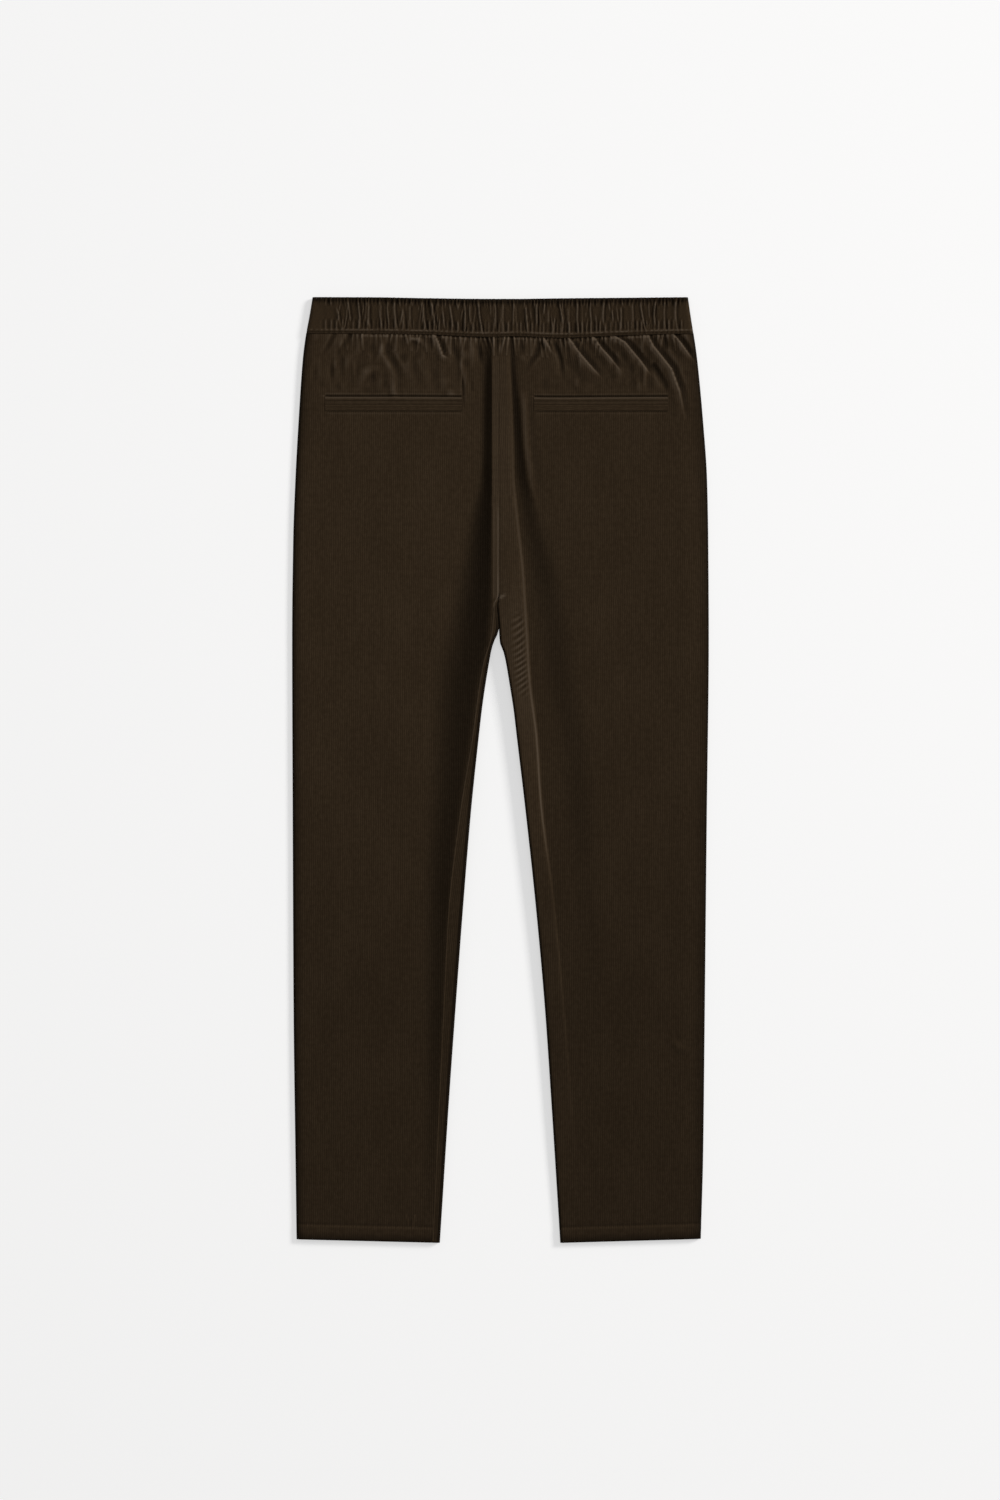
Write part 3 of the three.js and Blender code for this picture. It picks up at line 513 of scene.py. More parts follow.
def newGrid(name, columns, rows):
    bpy.ops.object.select_all(action="DESELECT")
    bpy.ops.mesh.primitive_grid_add(x_subdivisions=columns, y_subdivisions=rows, size=1, location=(0, 0, 0))
    piece = bpy.context.active_object
    piece.name = piece.data.name = name
    piece.data.uv_layers[0].name = "cloth"
    return piece


def readPoints(piece):
    points = np.empty(len(piece.data.vertices) * 3)
    piece.data.vertices.foreach_get("co", points)
    return points.reshape(-1, 3)


def writePoints(piece, points):
    piece.data.vertices.foreach_set("co", np.ascontiguousarray(points, dtype=float).ravel())
    piece.data.update()


def editFaces(piece, test, edit, **settings):
    # edits the faces whose middle passes the test on the flat grid
    middles = np.empty(len(piece.data.polygons) * 3)
    piece.data.polygons.foreach_get("center", middles)
    middles = middles.reshape(-1, 3) + 0.5
    bpy.context.tool_settings.mesh_select_mode = (False, False, True)
    bpy.ops.object.mode_set(mode="EDIT")
    bpy.ops.mesh.select_all(action="DESELECT")
    bpy.ops.object.mode_set(mode="OBJECT")
    piece.data.polygons.foreach_set("select", test(middles[:, 0], middles[:, 1]))
    bpy.ops.object.mode_set(mode="EDIT")
    edit(**settings)
    bpy.ops.object.mode_set(mode="OBJECT")


def clothMap(uv, place, rows):
    # across: how far each part of a panel lies from its grain line, along the cloth; down: its row
    u, v = np.linspace(0, 1, 420), np.linspace(0, 1, 160)
    grid = place(np.tile(u, (len(v), 1)), np.tile(rows(v)[:, None], (1, len(u))))
    steps = np.linalg.norm(np.diff(grid, axis=1), axis=2)
    along = np.concatenate([np.zeros((len(v), 1)), np.cumsum(steps, axis=1)], axis=1)
    for i in range(len(v)):
        along[i] -= np.interp(0, np.abs(grid[i, :, 0]) - cut["grainLine"], along[i])
    iu, iv = (np.clip(uv[:, i] * (size - 1), 0, size - 1.001) for i, size in ((0, len(u)), (1, len(v))))
    a, b = iu.astype(int), iv.astype(int)
    across = mix(mix(along[b, a], along[b, a + 1], iu - a), mix(along[b + 1, a], along[b + 1, a + 1], iu - a), iv - b)
    return np.stack([across, rows(uv[:, 1])], axis=-1) * mm


def writeMap(piece, perPoint):
    corners = np.empty(len(piece.data.loops), dtype=np.int32)
    piece.data.loops.foreach_get("vertex_index", corners)
    piece.data.uv_layers["cloth"].data.foreach_set("uv", perPoint[corners].astype(np.float32).ravel())


def giveWall(piece, thick, innerSkin):
    # Solidify adds the inner skin as a second set of points, which are then set smooth
    count = len(piece.data.vertices)
    wall = piece.modifiers.new("wall", "SOLIDIFY")
    wall.thickness = thick * mm
    wall.offset = -1
    bpy.ops.object.modifier_apply(modifier="wall")
    points = readPoints(piece)
    points[count:2 * count] = innerSkin * mm
    writePoints(piece, points)


def outwardAt(place, u, row, sign):
    step, drop = 1e-4, 0.05
    across = place(u + step, row) - place(u - step, row)
    along = place(u, row + drop) - place(u, row - drop)
    normal = np.cross(across, along) * -sign
    size = np.linalg.norm(normal, axis=1, keepdims=True)
    up = np.array([0, 0, 1.0])
    return np.where(size > 1e-12, normal / np.maximum(size, 1e-12), up)


def paintedCavityShade(height, a, b, sizes):
    # how far a surface lies above its surroundings at a few distances: painted highlight on what stands above,
    # painted shade in what lies below
    middle = height(a, b)
    paintedLightShade = 0
    for reach, gain in sizes:
        around = (height(a - reach, b) + height(a + reach, b) + height(a, b - reach) + height(a, b + reach)) / 4
        paintedLightShade = paintedLightShade + np.clip((middle - around) * gain, -0.5, 0.45)
    return paintedLightShade


def legShade(half, row):
    return {"left": 0.03, "right": -0.05}[half["side"]] - 0.22 * ease(row, 350, 500)


def edgeShade(distance, wide=3.4):
    return -1.3 * fade(distance / wide)


def leftShade(half, out, row):
    # painted light and shade: highlights on the seat fold's top, on the seams beside the seat and on the hook of the
    # inseam at the crotch, and shade on the fold's flank and towards the outer side
    foot, top = foldParts(row, "foot", "top")
    past = row - cut["crotch"]
    t = (foot + 5 - out) / (foot + 5 - top)
    shade = foldShadingAt["top"](row) * ease(top, out, 1.5) * fall(past, -6, 12)
    shade -= foldShadingAt["flank"](row) * smooth(t / 0.72) * fall(t, 0.88, 0.18)
    seam = (0.5 + 0.3 * ease(past, -36, 25)) * bump(out - half["seam"] - 0.9, 1.8) + 0.22 * bump(out - 7.0, 1.8)
    shade += seam * ease(past, -109, 20) * fall(past, -2, 4)
    hook = fade((out - leftInseam(row)) / 2.2) * ease(past, -4, 3) * fall(past, 7, 6)
    return shade + 0.9 * hook - 0.5 * smooth(1 - (half["outer"](row) - out) / 12)


def rightShade(half, out, row):
    # painted light and shade: highlights on the seat fold's top and crest and on the hook at the crotch, and shade in
    # its valley, at the inner edge and towards the outer side
    crest, low = foldParts(row, "crest", "low")
    side, past = half["outer"](row) - out, row - cut["crotch"]
    shade = foldShadingAt["top"](row) * fall(out, crest, 2)
    shade += foldShadingAt["crest"](row) * bump(out - (crest + low) / 2 + 0.3, 2.0)
    shade -= foldShadingAt["valley"](row) * bump(out - foldShadingAt["valleyAt"](row), foldShadingAt["valleyWide"](row))
    hook = bump(past + 0.5 + 0.45 * out, 2.8) * ease(out, -4, 2) * fall(out, 3, 4)
    shade += 0.9 * hook + edgeShade(out - half["inner"](row)) * ease(past, 7, 8)
    return shade - 0.35 * smooth(1 - side / 14) - 0.4 * smooth(1 - side / 6)


def panelPaintedShade(half, out, row):
    # painted light and shade: by the seat fold and at the edges, a highlight and shade at the waist seam and round
    # the welt, a dashed highlight along the hem stitching and shade at the hem
    shade = legShade(half, row) + (leftShade if half["left"] else rightShade)(half, out, row)
    below, hem, ends = row - cut["waistRow"], cut["length"] - row, welts[half["side"]]
    uneven = 0.6 + 0.25 * np.sin(out / 3.1 + 2 * np.sin(out / 11)) + 0.15 * np.sin(out / 1.3)
    uneven *= smooth(((165 if half["left"] else 190) - out) / 20)
    shade += 0.8 * uneven * bump(below - 2.4, 1.9) - 0.5 * fade(below)
    dash = 0.65 + 0.35 * np.sin(2 * np.pi * out / 3.4)
    stitch = hem - cut["hemDepth"]
    shade += 0.6 * dash * bump(stitch, 1.7) - 0.2 * bump(stitch - 2.4, 1.6)
    byWelt = ease(out, ends["from"], 3) * ease(ends["to"], out, 3)
    shade += byWelt * (0.24 * bump(row - welts["foot"] - 2.6, 1.6) - 0.4 * bump(row - welts["foot"] - 0.5, 1.3))
    return shade + edgeShade(half["outer"](row) - out) - 0.7 * fade(hem / 10) + edgeShade(hem, 2.8)


def finishPiece(piece, points, innerSkin, thick, weave, paintedLightShade, material, flipped=False):
    # the shading attribute is painted light and shade: above 0 it paints crests lighter as highlight, below 0 it
    # paints hollows and creases darker as shade
    layer = piece.data.attributes.new("paintedLightShade", "FLOAT", "POINT")
    layer.data.foreach_set("value", np.clip(paintedLightShade, -1.4, 0.9).astype(np.float32))
    writePoints(piece, points * mm)
    writeMap(piece, weave)
    if flipped:  # the right half's grids run the other way
        piece.data.flip_normals()
    giveWall(piece, thick, innerSkin)
    piece.data.materials.append(material)
    bpy.ops.object.select_all(action="DESELECT")
    piece.select_set(True)
    bpy.context.view_layer.objects.active = piece
    bpy.ops.object.shade_smooth_by_angle(angle=math.radians(50))
    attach(piece, "root")
    print(piece.name, "done,", len(piece.data.vertices), "points")
    return piece


# corduroy

clothLook = {
    "pitch": 0.0020,  # metres from wale to wale
    # deep is the colour of the grooves between the wales, painted darker as shade
    "deep": (0.0298, 0.0187, 0.0097),
    "base": (0.0370, 0.0233, 0.0120),
    "worn": (0.0555, 0.0362, 0.0198),
    "highlightColour": (0.0460, 0.0338, 0.0232),  # paler colour painted on crests and along seams as highlight
    "waleHeight": 0.13,  # of a millimetre
    "pileHeight": 0.10,
    "paintedLightShade": 2.6,  # how much lighter the painted highlight makes a crest, and how much darker the painted shade makes a hollow
    "sheen": 0.02,
    "sheenTint": (0.9, 0.72, 0.55),
    # uneven brushing, from streaks to clouds and mottles: across and along the wales, detail and share
    "brushing": [(430, 34, 2.0, 0.22), (60, 5, 2.0, 0.10), (16, 11, 3.0, 0.25), (230, 190, 3.0, 0.43)],
}


def addNode(tree, kind, inputs, **settings):
    node = tree.nodes.new(kind)
    for name, value in settings.items():
        setattr(node, name, value)
    setInputs(node, inputs)
    return node


def mathNode(tree, operation, *values):
    return addNode(tree, "ShaderNodeMath", dict(enumerate(values)), operation=operation).outputs[0]


def mixColours(tree, factor, first, second):
    # the Mix node's colour sockets have no names of their own
    return addNode(tree, "ShaderNodeMix", {0: factor, 6: first, 7: second}, data_type="RGBA").outputs[2]


def noiseOn(tree, vector, across, along, detail):
    mapping = addNode(tree, "ShaderNodeMapping", {"Vector": vector, "Scale": (across, along, 1)})
    inputs = {"Vector": mapping.outputs[0], "Scale": 1.0, "Detail": detail}
    return addNode(tree, "ShaderNodeTexNoise", inputs).outputs["Fac"]


def fromTo(tree, value, low, high, outLow=0.0, outHigh=1.0):
    inputs = {"Value": value, "From Min": low, "From Max": high, "To Min": outLow, "To Max": outHigh}
    return addNode(tree, "ShaderNodeMapRange", inputs).outputs[0]


def corduroy(name, tone=1.0, shift=0.0):
    look = clothLook
    deep, base, worn, highlightColour = ((*(tone * c for c in look[part]), 1) for part in ("deep", "base", "worn", "highlightColour"))
    material = bpy.data.materials.new(name)
    material.use_nodes = True
    tree = material.node_tree
    uv = addNode(tree, "ShaderNodeUVMap", {}, uv_map="cloth").outputs["UV"]
    waves = {"Vector": uv, "Scale": 2 * math.pi / (20 * look["pitch"]), "Distortion": 2.4, "Detail": 1.0,
             "Detail Scale": 0.6, "Phase Offset": shift}
    wave = addNode(tree, "ShaderNodeTexWave", waves, wave_type="BANDS", bands_direction="X", wave_profile="SIN")
    wale = mathNode(tree, "POWER", wave.outputs["Fac"], 0.65)
    pile = noiseOn(tree, uv, 1500, 700, 3.0)
    # colour: dark in the grooves, which is painted shade, and lighter along the wales that are brushed up
    brushed = 0.0
    for across, along, detail, share in look["brushing"]:
        noise = fromTo(tree, noiseOn(tree, uv, across, along, detail), 0.3, 0.7)
        brushed = mathNode(tree, "ADD", brushed, mathNode(tree, "MULTIPLY", noise, share))
    upper = mixColours(tree, fromTo(tree, brushed, 0.28, 0.72), base, worn)
    lit = mathNode(tree, "MULTIPLY", wale, fromTo(tree, pile, 0.25, 0.75, 0.6, 1.0))
    colour = mixColours(tree, fromTo(tree, lit, 0.05, 0.75), deep, upper)
    # painted shade darkens hollows and painted highlight lightens crests
    paintedLightShade = addNode(tree, "ShaderNodeAttribute", {}, attribute_name="paintedLightShade").outputs["Fac"]
    colour = mixColours(tree, fromTo(tree, paintedLightShade, 0.05, 0.8), colour, highlightColour)
    shade = {0: colour, "Scale": mathNode(tree, "POWER", look["paintedLightShade"], paintedLightShade)}
    shaded = addNode(tree, "ShaderNodeVectorMath", shade, operation="SCALE")
    height = mathNode(tree, "ADD", mathNode(tree, "MULTIPLY", wale, look["waleHeight"]),
                      mathNode(tree, "MULTIPLY", pile, look["pileHeight"]))
    relief = addNode(tree, "ShaderNodeBump", {"Strength": 1.0, "Distance": 0.001, "Height": height})
    setInputs(tree.nodes["Principled BSDF"], {
        "Base Color": shaded.outputs[0], "Roughness": fromTo(tree, pile, 0.2, 0.8, 0.86, 0.98),
        "Normal": relief.outputs[0], "Specular IOR Level": 0.06, "Sheen Weight": look["sheen"],
        "Sheen Roughness": 0.45, "Sheen Tint": (*look["sheenTint"], 1)})
    return material


# back panels

backPanels = {
    "columns": 120,
    "rows": [  # from, to and step
        (42.15, 70, 2.0), (70, 104, 3.0), (104, 130, 2.0), (130, 345, 4.0), (345, 1000, 5.0), (1000, 1040.6, 1.2)],
    "dense": {  # parts of the grid that are split once more: from and to as shares of the columns, then as rows
        "left": [(0, 1, 0, 132)],
        "right": [(0, 1, 0, 132), (0, 0.2, 322, 470), (0.08, 0.19, 354, 446)],
    },
    "crotchFrom": 322,  # where the right panel starts to turn down between the legs
    "sideStart": 110 / 120,  # shares of the columns, each on a column line: where the side starts to turn down,
    "wallEnd": 4 / 120,  # and where the right panel's wall and roll between the legs end
    "rollEnd": 9 / 120,
}


def panelGrid(name, setup):
    rows = [setup["rows"][0][0]]
    for start, end, step in setup["rows"]:
        count = round((end - start) / step)
        rows += [mix(start, end, (i + 1) / count) for i in range(count)]
    piece = newGrid(name, setup["columns"], len(rows) - 1)
    return piece, lambda v: np.interp(v, np.linspace(0, 1, len(rows)), rows)


def backPlace(half, u, row, fine=True):
    left, outer, height = half["left"], half["outer"](row), half["height"]
    sideStart, wallEnd, rollEnd = (backPanels[name] for name in ("sideStart", "wallEnd", "rollEnd"))
    to = outer - cut["sideRoll"]
    top, foot, crest, low, far = foldParts(row, "top", "foot", "crest", "low", "far")
    if left:
        start = np.where(row < crotchLine["down"][0], half["seam"], leftInseam(row) + cut["gap"] / 2)
        a = np.maximum(top - 1.6, start + 0.4)
        b = np.maximum(top + 2.4, a + 1.2)
        c = np.maximum(foot, b + 6)
        stops, places = [0, 0.06, 0.14, 0.34, sideStart], [start, a, b, c, to]
    else:
        grow = ease(row, backPanels["crotchFrom"], 14)
        inner = half["inner"](row) - 0.17 * bump(row - cut["crotch"] + 1, 8)  # the seam is shut where the legs part
        start = inner + cut["innerRoll"] * grow
        a = np.maximum(crest - 2, start + 1)
        stops, places = [rollEnd, 0.16, 0.20, 0.28, 0.42, sideStart], [start, a, crest + 1, low, far, to]
    out = stretchOver(u, stops, places)
    z = height(out, row, fine)
    if not left:
        # the roll and the wall down to the right inseam; its angle is 0 on the wall
        radius = cut["innerRoll"] * grow
        angle = np.pi / 2 * part(u, wallEnd, rollEnd)
        wallTop = height(start, row, fine) - radius
        share = mix(1, cut["partShare"], grow) * fall(row, cut["partRow"], 30)
        wallFoot = mix(mix(wallTop, cut["innerUnderRoll"] + cut["gap"] / 2, grow), wallTop, share)
        wallZ = mix(wallFoot, wallTop, np.clip(u / wallEnd, 0, 1)) + radius * np.sin(angle)
        out = np.where(u < rollEnd, inner + radius * (1 - np.cos(angle)), out)
        z = np.where(u < rollEnd, wallZ, z)
    # the side turns down to the outseam
    edge = np.arcsin(cut["gap"] / 2 / (height(outer, row, False) - cut["sideHeight"]))
    angle = mix(np.pi / 2, edge, part(u, sideStart, 1))
    sideOut = outer - cut["sideRoll"] * (1 - np.cos(angle))
    sideZ = cut["sideHeight"] + (height(sideOut, row, fine) - cut["sideHeight"]) * np.sin(angle)
    out = np.where(u > sideStart, sideOut, out)
    z = np.where(u > sideStart, sideZ, z)
    return toSpace(half, out, row, z)


def backInside(half, u, row, points):
    # straight down under the upper layer, square to the cloth where it is rolled
    place = lambda a, b: backPlace(half, a, b, False)
    plain, outward = place(u, row), outwardAt(place, u, row, half["sign"])
    rolled = plain - outward * cut["cloth"]
    below = plain.copy()
    below[:, 2] -= np.minimum(cut["cloth"] / np.maximum(outward[:, 2], 0.2), 3.2)
    wallEnd = 0.11 if not half["left"] else -1
    share = np.maximum(smooth((u - backPanels["sideStart"] + 0.02) / 0.02),
                       ease(wallEnd, u, 0.03) * (row > backPanels["crotchFrom"]))
    # the deepest creases stop short of the inner skin
    level = share < 0.01
    points[level, 2] = np.maximum(points[level, 2], below[level, 2] + 0.38)
    return mix(below, rolled, share[:, None])


def makeBack(half, name):
    setup = backPanels
    piece, rowAt = panelGrid(name, setup)
    if not half["left"]:
        editFaces(piece, lambda u, v: (u < setup["rollEnd"]) & (rowAt(v) < setup["crotchFrom"]),
                  bpy.ops.mesh.delete, type="FACE")
    for fromU, toU, fromRow, toRow in setup["dense"][half["side"]]:
        editFaces(piece, lambda u, v: (u > fromU) & (u < toU) & (rowAt(v) > fromRow) & (rowAt(v) < toRow),
                  bpy.ops.mesh.subdivide, number_cuts=1)
    flat = readPoints(piece) + 0.5
    u, v = flat[:, 0], flat[:, 1]
    row = rowAt(v)
    points = backPlace(half, u, row)
    weave = clothMap(flat, lambda a, b: backPlace(half, a, b, False), rowAt)
    innerSkin = backInside(half, u, row, points)
    out = half["sign"] * points[:, 0]
    plain = lambda a, b: half["height"](a, b) + weltHollow(half["side"], a, b) - half["fold"](a, b)
    within = np.clip(out, half["inner"](row) + 3, half["outer"](row) - 4)
    # painted highlight on crests and painted shade in hollows of the relief, without the seat fold, plus the painted
    # light and shade by the fold, seams, edges and hem
    paintedLightShade = paintedCavityShade(plain, within, row, [(2.2, 1.1), (7, 0.35)]) + panelPaintedShade(half, out, row)
    return finishPiece(piece, points, innerSkin, cut["cloth"], weave, paintedLightShade, legCloth, not half["left"])


leftHalf, rightHalf = makeHalf("left"), makeHalf("right")
legCloth = corduroy("legCorduroy", tone=0.975)
bandCloth = corduroy("bandCorduroy", tone=1.09, shift=1.7)
backLeft = makeBack(leftHalf, "backLeft")
backRight = makeBack(rightHalf, "backRight")

# front panels

frontPanels = {
    "columns": 64,
    "rows": [
        (42.15, 130, 7.0), (130, 322, 9.0), (322, 331, 1.8), (331, 345, 2.0), (345, 1020, 6.5), (1020, 1040.6, 2.5)],
    "sideEnd": 6 / 64,  # shares of the columns, each on a column line: side roll, underside,
    "underEnd": 38 / 64,  # then the turn up between the legs, the wall there, the roll over it and the top strip
    "turnEnd": 42 / 64,
    "wallEnd": 46 / 64,
    "rollEnd": 52 / 64,
}
frontFolds = [  # shallow creases of the underside, which rises clear of the floor there
    crease([-150, -141, -120], [70, 130, 190], 0.9, 9, 7),
    crease([96, 104, 125], [60, 118, 160], 0.8, 8, 7),
    crease([-38, -70, -112], [330, 352, 366], 1.0, 10, 8),
    crease([36, 74, 118], [334, 350, 372], 1.0, 10, 8),
    crease([-120, -160, -190], [560, 571, 566], 0.8, 9, 8),
    crease([118, 150, 192], [596, 600, 590], 0.8, 9, 8),
    crease([-100, -120, -140], [850, 853, 858], 0.7, 8, 7),
    crease([130, 150, 170], [880, 877, 872], 0.7, 8, 7),
]


def frontPlace(half, u, row, fine=True):
    stops = ("sideEnd", "underEnd", "turnEnd", "wallEnd", "rollEnd")
    sideEnd, underEnd, turnEnd, wallEnd, rollEnd = (frontPanels[name] for name in stops)
    innerRoll, underRoll, gap = cut["innerRoll"], cut["innerUnderRoll"], cut["gap"] / 2
    outer, height = half["outer"](row), half["height"]
    leg = row > cut["crotch"] - 0.01
    meet = smooth((row - cut["crotch"] + 2) / 2)
    inner = np.where(leg, half["inner"](row), mix(half["frontSeam"], half["inner"](cut["crotch"] + 0 * row), meet))
    edge = np.arcsin(gap / cut["sideHeight"])
    angle = mix(edge, np.pi / 2, np.clip(u / sideEnd, 0, 1))
    out = outer - cut["sideUnderRoll"] * (1 - np.cos(angle))
    z = cut["sideHeight"] * (1 - np.sin(angle))
    under = u > sideEnd
    start = outer - cut["sideUnderRoll"]
    end = np.where(leg, inner + underRoll, inner)
    out = np.where(under, mix(start, end, part(u, sideEnd, underEnd)), out)
    z = np.where(under, foldHeights(half["sign"] * out, row, frontFolds) if fine else 0, z)
    turn = leg & (u > underEnd)
    angle = np.pi / 2 * (1 - part(u, underEnd, turnEnd))
    out = np.where(turn, inner + underRoll * (1 - np.cos(angle)), out)
    z = np.where(turn, underRoll * (1 - np.sin(angle)), z)
    wall = leg & (u > turnEnd)
    out = np.where(wall, inner, out)
    top = height(inner + innerRoll, row, fine) - innerRoll
    if not half["left"]:
        share = cut["partShare"] * fall(row, cut["partRow"], 30)
        top = mix(underRoll, top, share) - gap
        z = np.where(wall, mix(underRoll, np.maximum(top, underRoll + 0.05), part(u, turnEnd, 1)), z)
        return toSpace(half, out, row, z, True)
    z = np.where(wall, mix(underRoll, top, part(u, turnEnd, wallEnd)), z)
    line = leftInseam(row) - gap
    strip = np.maximum(line - inner, 0.2)
    reach = np.arccos(1 - np.minimum(strip, innerRoll) / innerRoll)
    roll = leg & (u > wallEnd)
    angle = reach * part(u, wallEnd, rollEnd)
    rollOut = inner + innerRoll * (1 - np.cos(angle))
    edgeTop = top + innerRoll
    stripOut = mix(inner + np.minimum(strip, innerRoll), line, part(u, rollEnd, 1))
    for mask, placed, turned in ((roll, rollOut, angle), (leg & (u > rollEnd), stripOut, reach)):
        rise = np.sin(turned)
        rolledZ = edgeTop + (height(placed, row, fine) - edgeTop) * rise - innerRoll * (1 - rise)
        out, z = np.where(mask, placed, out), np.where(mask, rolledZ, z)
    # the waist line of the front gives way to that of the back
    blend = (leg * np.clip((u - turnEnd) / 0.05, 0, 1))[..., None]
    return mix(toSpace(half, out, row, z, True), toSpace(half, out, row, z), blend)


def makeFront(half, name):
    setup = frontPanels
    piece, rowAt = panelGrid(name, setup)
    wallLasts = cut["partRow"] + (cut["length"] if half["left"] else 30)
    editFaces(piece, lambda u, v: ((u > setup["underEnd"]) & (rowAt(v) < cut["crotch"]))
              | ((u > setup["turnEnd"]) & (rowAt(v) > wallLasts)), bpy.ops.mesh.delete, type="FACE")
    flat = readPoints(piece) + 0.5
    u, row = flat[:, 0], rowAt(flat[:, 1])
    place = lambda a, b: frontPlace(half, a, b, False)
    points = frontPlace(half, u, row)
    innerSkin = place(u, row) - outwardAt(place, u, row, half["sign"]) * cut["cloth"]
    weave = clothMap(flat, place, rowAt)
    shade = legShade(half, row)
    leg = (row > cut["crotch"]) & (u > setup["underEnd"])
    strip = ease(u, setup["rollEnd"], 0.02)
    past = row - cut["crotch"]
    # painted highlight along the left inseam, strongest at the crotch, and painted shade on the roll between the
    # legs, on the top strip and at the hem
    inseamHighlight = 0.55 + 0.35 * fall(past, 7, 6)
    toLine = leftInseam(row) + points[:, 0]
    line = inseamHighlight * fade(toLine / 2.6) * half["left"]
    roll = 0.6 + 0.7 * ease(past, 14, 30)
    shade += np.where(leg, line - roll * (1 - strip) - 0.1 * strip, 0) + edgeShade(cut["length"] - row, 2.8)
    return finishPiece(piece, points, innerSkin, cut["cloth"], weave, shade, legCloth, not half["left"])


frontLeft = makeFront(leftHalf, "frontLeft")
frontRight = makeFront(rightHalf, "frontRight")

# waistband

band = {
    "level": 8.2,
    "cloth": 2.5,
    "height": 42,
    "sideHeight": 4.1,
    "roll": 4.5,
    "sideEnd": 0.02,  # share of the columns over which a side turns down
    "stitch": 0.9,  # share of the height
    "edgeCrimps": 1.6,
    "footCrimps": 1.4,
    "larger": 1.4,  # heights of the gathers and of the narrow ones between them
    "narrow": 0.9,
    "narrowCount": 96,
}
gathers = {  # x at the waist edge and at the waist seam, and height
    "top": [-182.1, -167.8, -157, -143.6, -131, -116.5, -108.6, -99, -84.5, -75.3, -65, -56.3, -40.2, -31.5, -24,
            -6.2, 4.2, 15.5, 27, 40.2, 52.3, 66.4, 76.5, 85.6, 98.7, 114.7, 123.2, 132.4, 144.7, 152.9, 170.4,
            181.5, 193.4],
    "foot": [-174.4, -163.4, -155.5, -143.8, -130, -112.4, -105, -97.5, -80.5, -71, -62, -50.6, -40.2, -30.5, -18.4,
             -5.5, 4.6, 16, 27.5, 40.4, 52.6, 67.4, 77, 85.8, 103, 114.9, 123.6, 133, 146.5, 160.7, 172,
             182.4, 195.3],
    "height": [0.8, 0.9, 0.5, 0.9, 0.5, 1.0, 0.6, 0.6, 0.9, 0.9, 0.5, 1.0, 0.9, 0.5, 1.3, 0.9, 0.7, 0.5, 0.5, 0.8,
               0.7, 1.0, 0.5, 1.0, 0.9, 0.9, 0.5, 0.9, 0.6, 1.1, 1.0, 0.6, 0.9],
}
gatherRanges = {"left": (2.2, 5), "flank": (1.1, 1.8), "dip": (0.3, 0.8), "right": (1.6, 3), "bend": (-2, 2),
                "start": (-0.3, 0.2), "end": (0.7, 1.3)}
narrowRanges = {"left": (1.4, 2.8), "flank": (0.9, 1.5), "dip": (0, 0.6), "bend": (-1.5, 1.5)}
edgeLines = crimpLines(21, -198, 205, 3.9)
footLines = crimpLines(34, -198, 205, 4.9)


def gatherLines(seed):
    # the gathers and narrow ones between them, with their widths, their bend and where they start and end
    dice = np.random.default_rng(seed)
    draw = lambda ranges: {name: dice.uniform(*ends) for name, ends in ranges.items()}
    lines = [{"top": top, "foot": foot, "height": band["larger"] * height, **draw(gatherRanges)}
             for top, foot, height in zip(gathers["top"], gathers["foot"], gathers["height"])]
    for i in range(band["narrowCount"]):
        x, start = dice.uniform(-180, 200), dice.uniform(-0.2, 0.6)
        line = {"top": x, "foot": x + dice.uniform(-5, 6), "height": band["narrow"] * dice.uniform(0.3, 1.5)}
        line.update(draw(narrowRanges), right=1.8, start=start)
        lines.append({**line, "end": start + dice.uniform(0.3, 0.8)})
    return lines


bandLines = gatherLines(52)


def bandRelief(x, share):
    calm = ease(x, -206, 16) * smooth((206 - x) / 10)
    lift = np.zeros(np.shape(x + share))
    for line in bandLines:
        side = x - mix(line["top"], line["foot"], share) - line["bend"] * np.sin(np.pi * share)
        along = ease(share, line["start"], 0.22) * fade((share - line["end"] + 0.2) / 0.2)
        lift += line["height"] * along * foldShape(side, line)
    edge = sum(size * bump(x - at - slant * share * 20, 1.9) for at, size, long, slant in edgeLines) - 0.35
    foot = sum(size * bump(x - at, 2.3) for at, size, long, slant in footLines) - 0.35
    lift = (0.8 * lift - 0.7) * (0.5 + 0.5 * smooth(share / 0.2)) * (1 - 0.75 * ease(share, 0.82, 0.08))
    lift += band["edgeCrimps"] * edge * fall(share, 0.1, 0.2)
    foot = foot * ease(share, 0.55, 0.15) * (1 - 0.7 * ease(share, 0.84, 0.06))
    return calm * (lift + band["footCrimps"] * foot) - 0.5 * bump(share - 0.945, 0.03)


def bandRounding(share):
    return 1.1 * fade(share / 0.07) + 0.7 * ease(share, 0.94, 0.06)


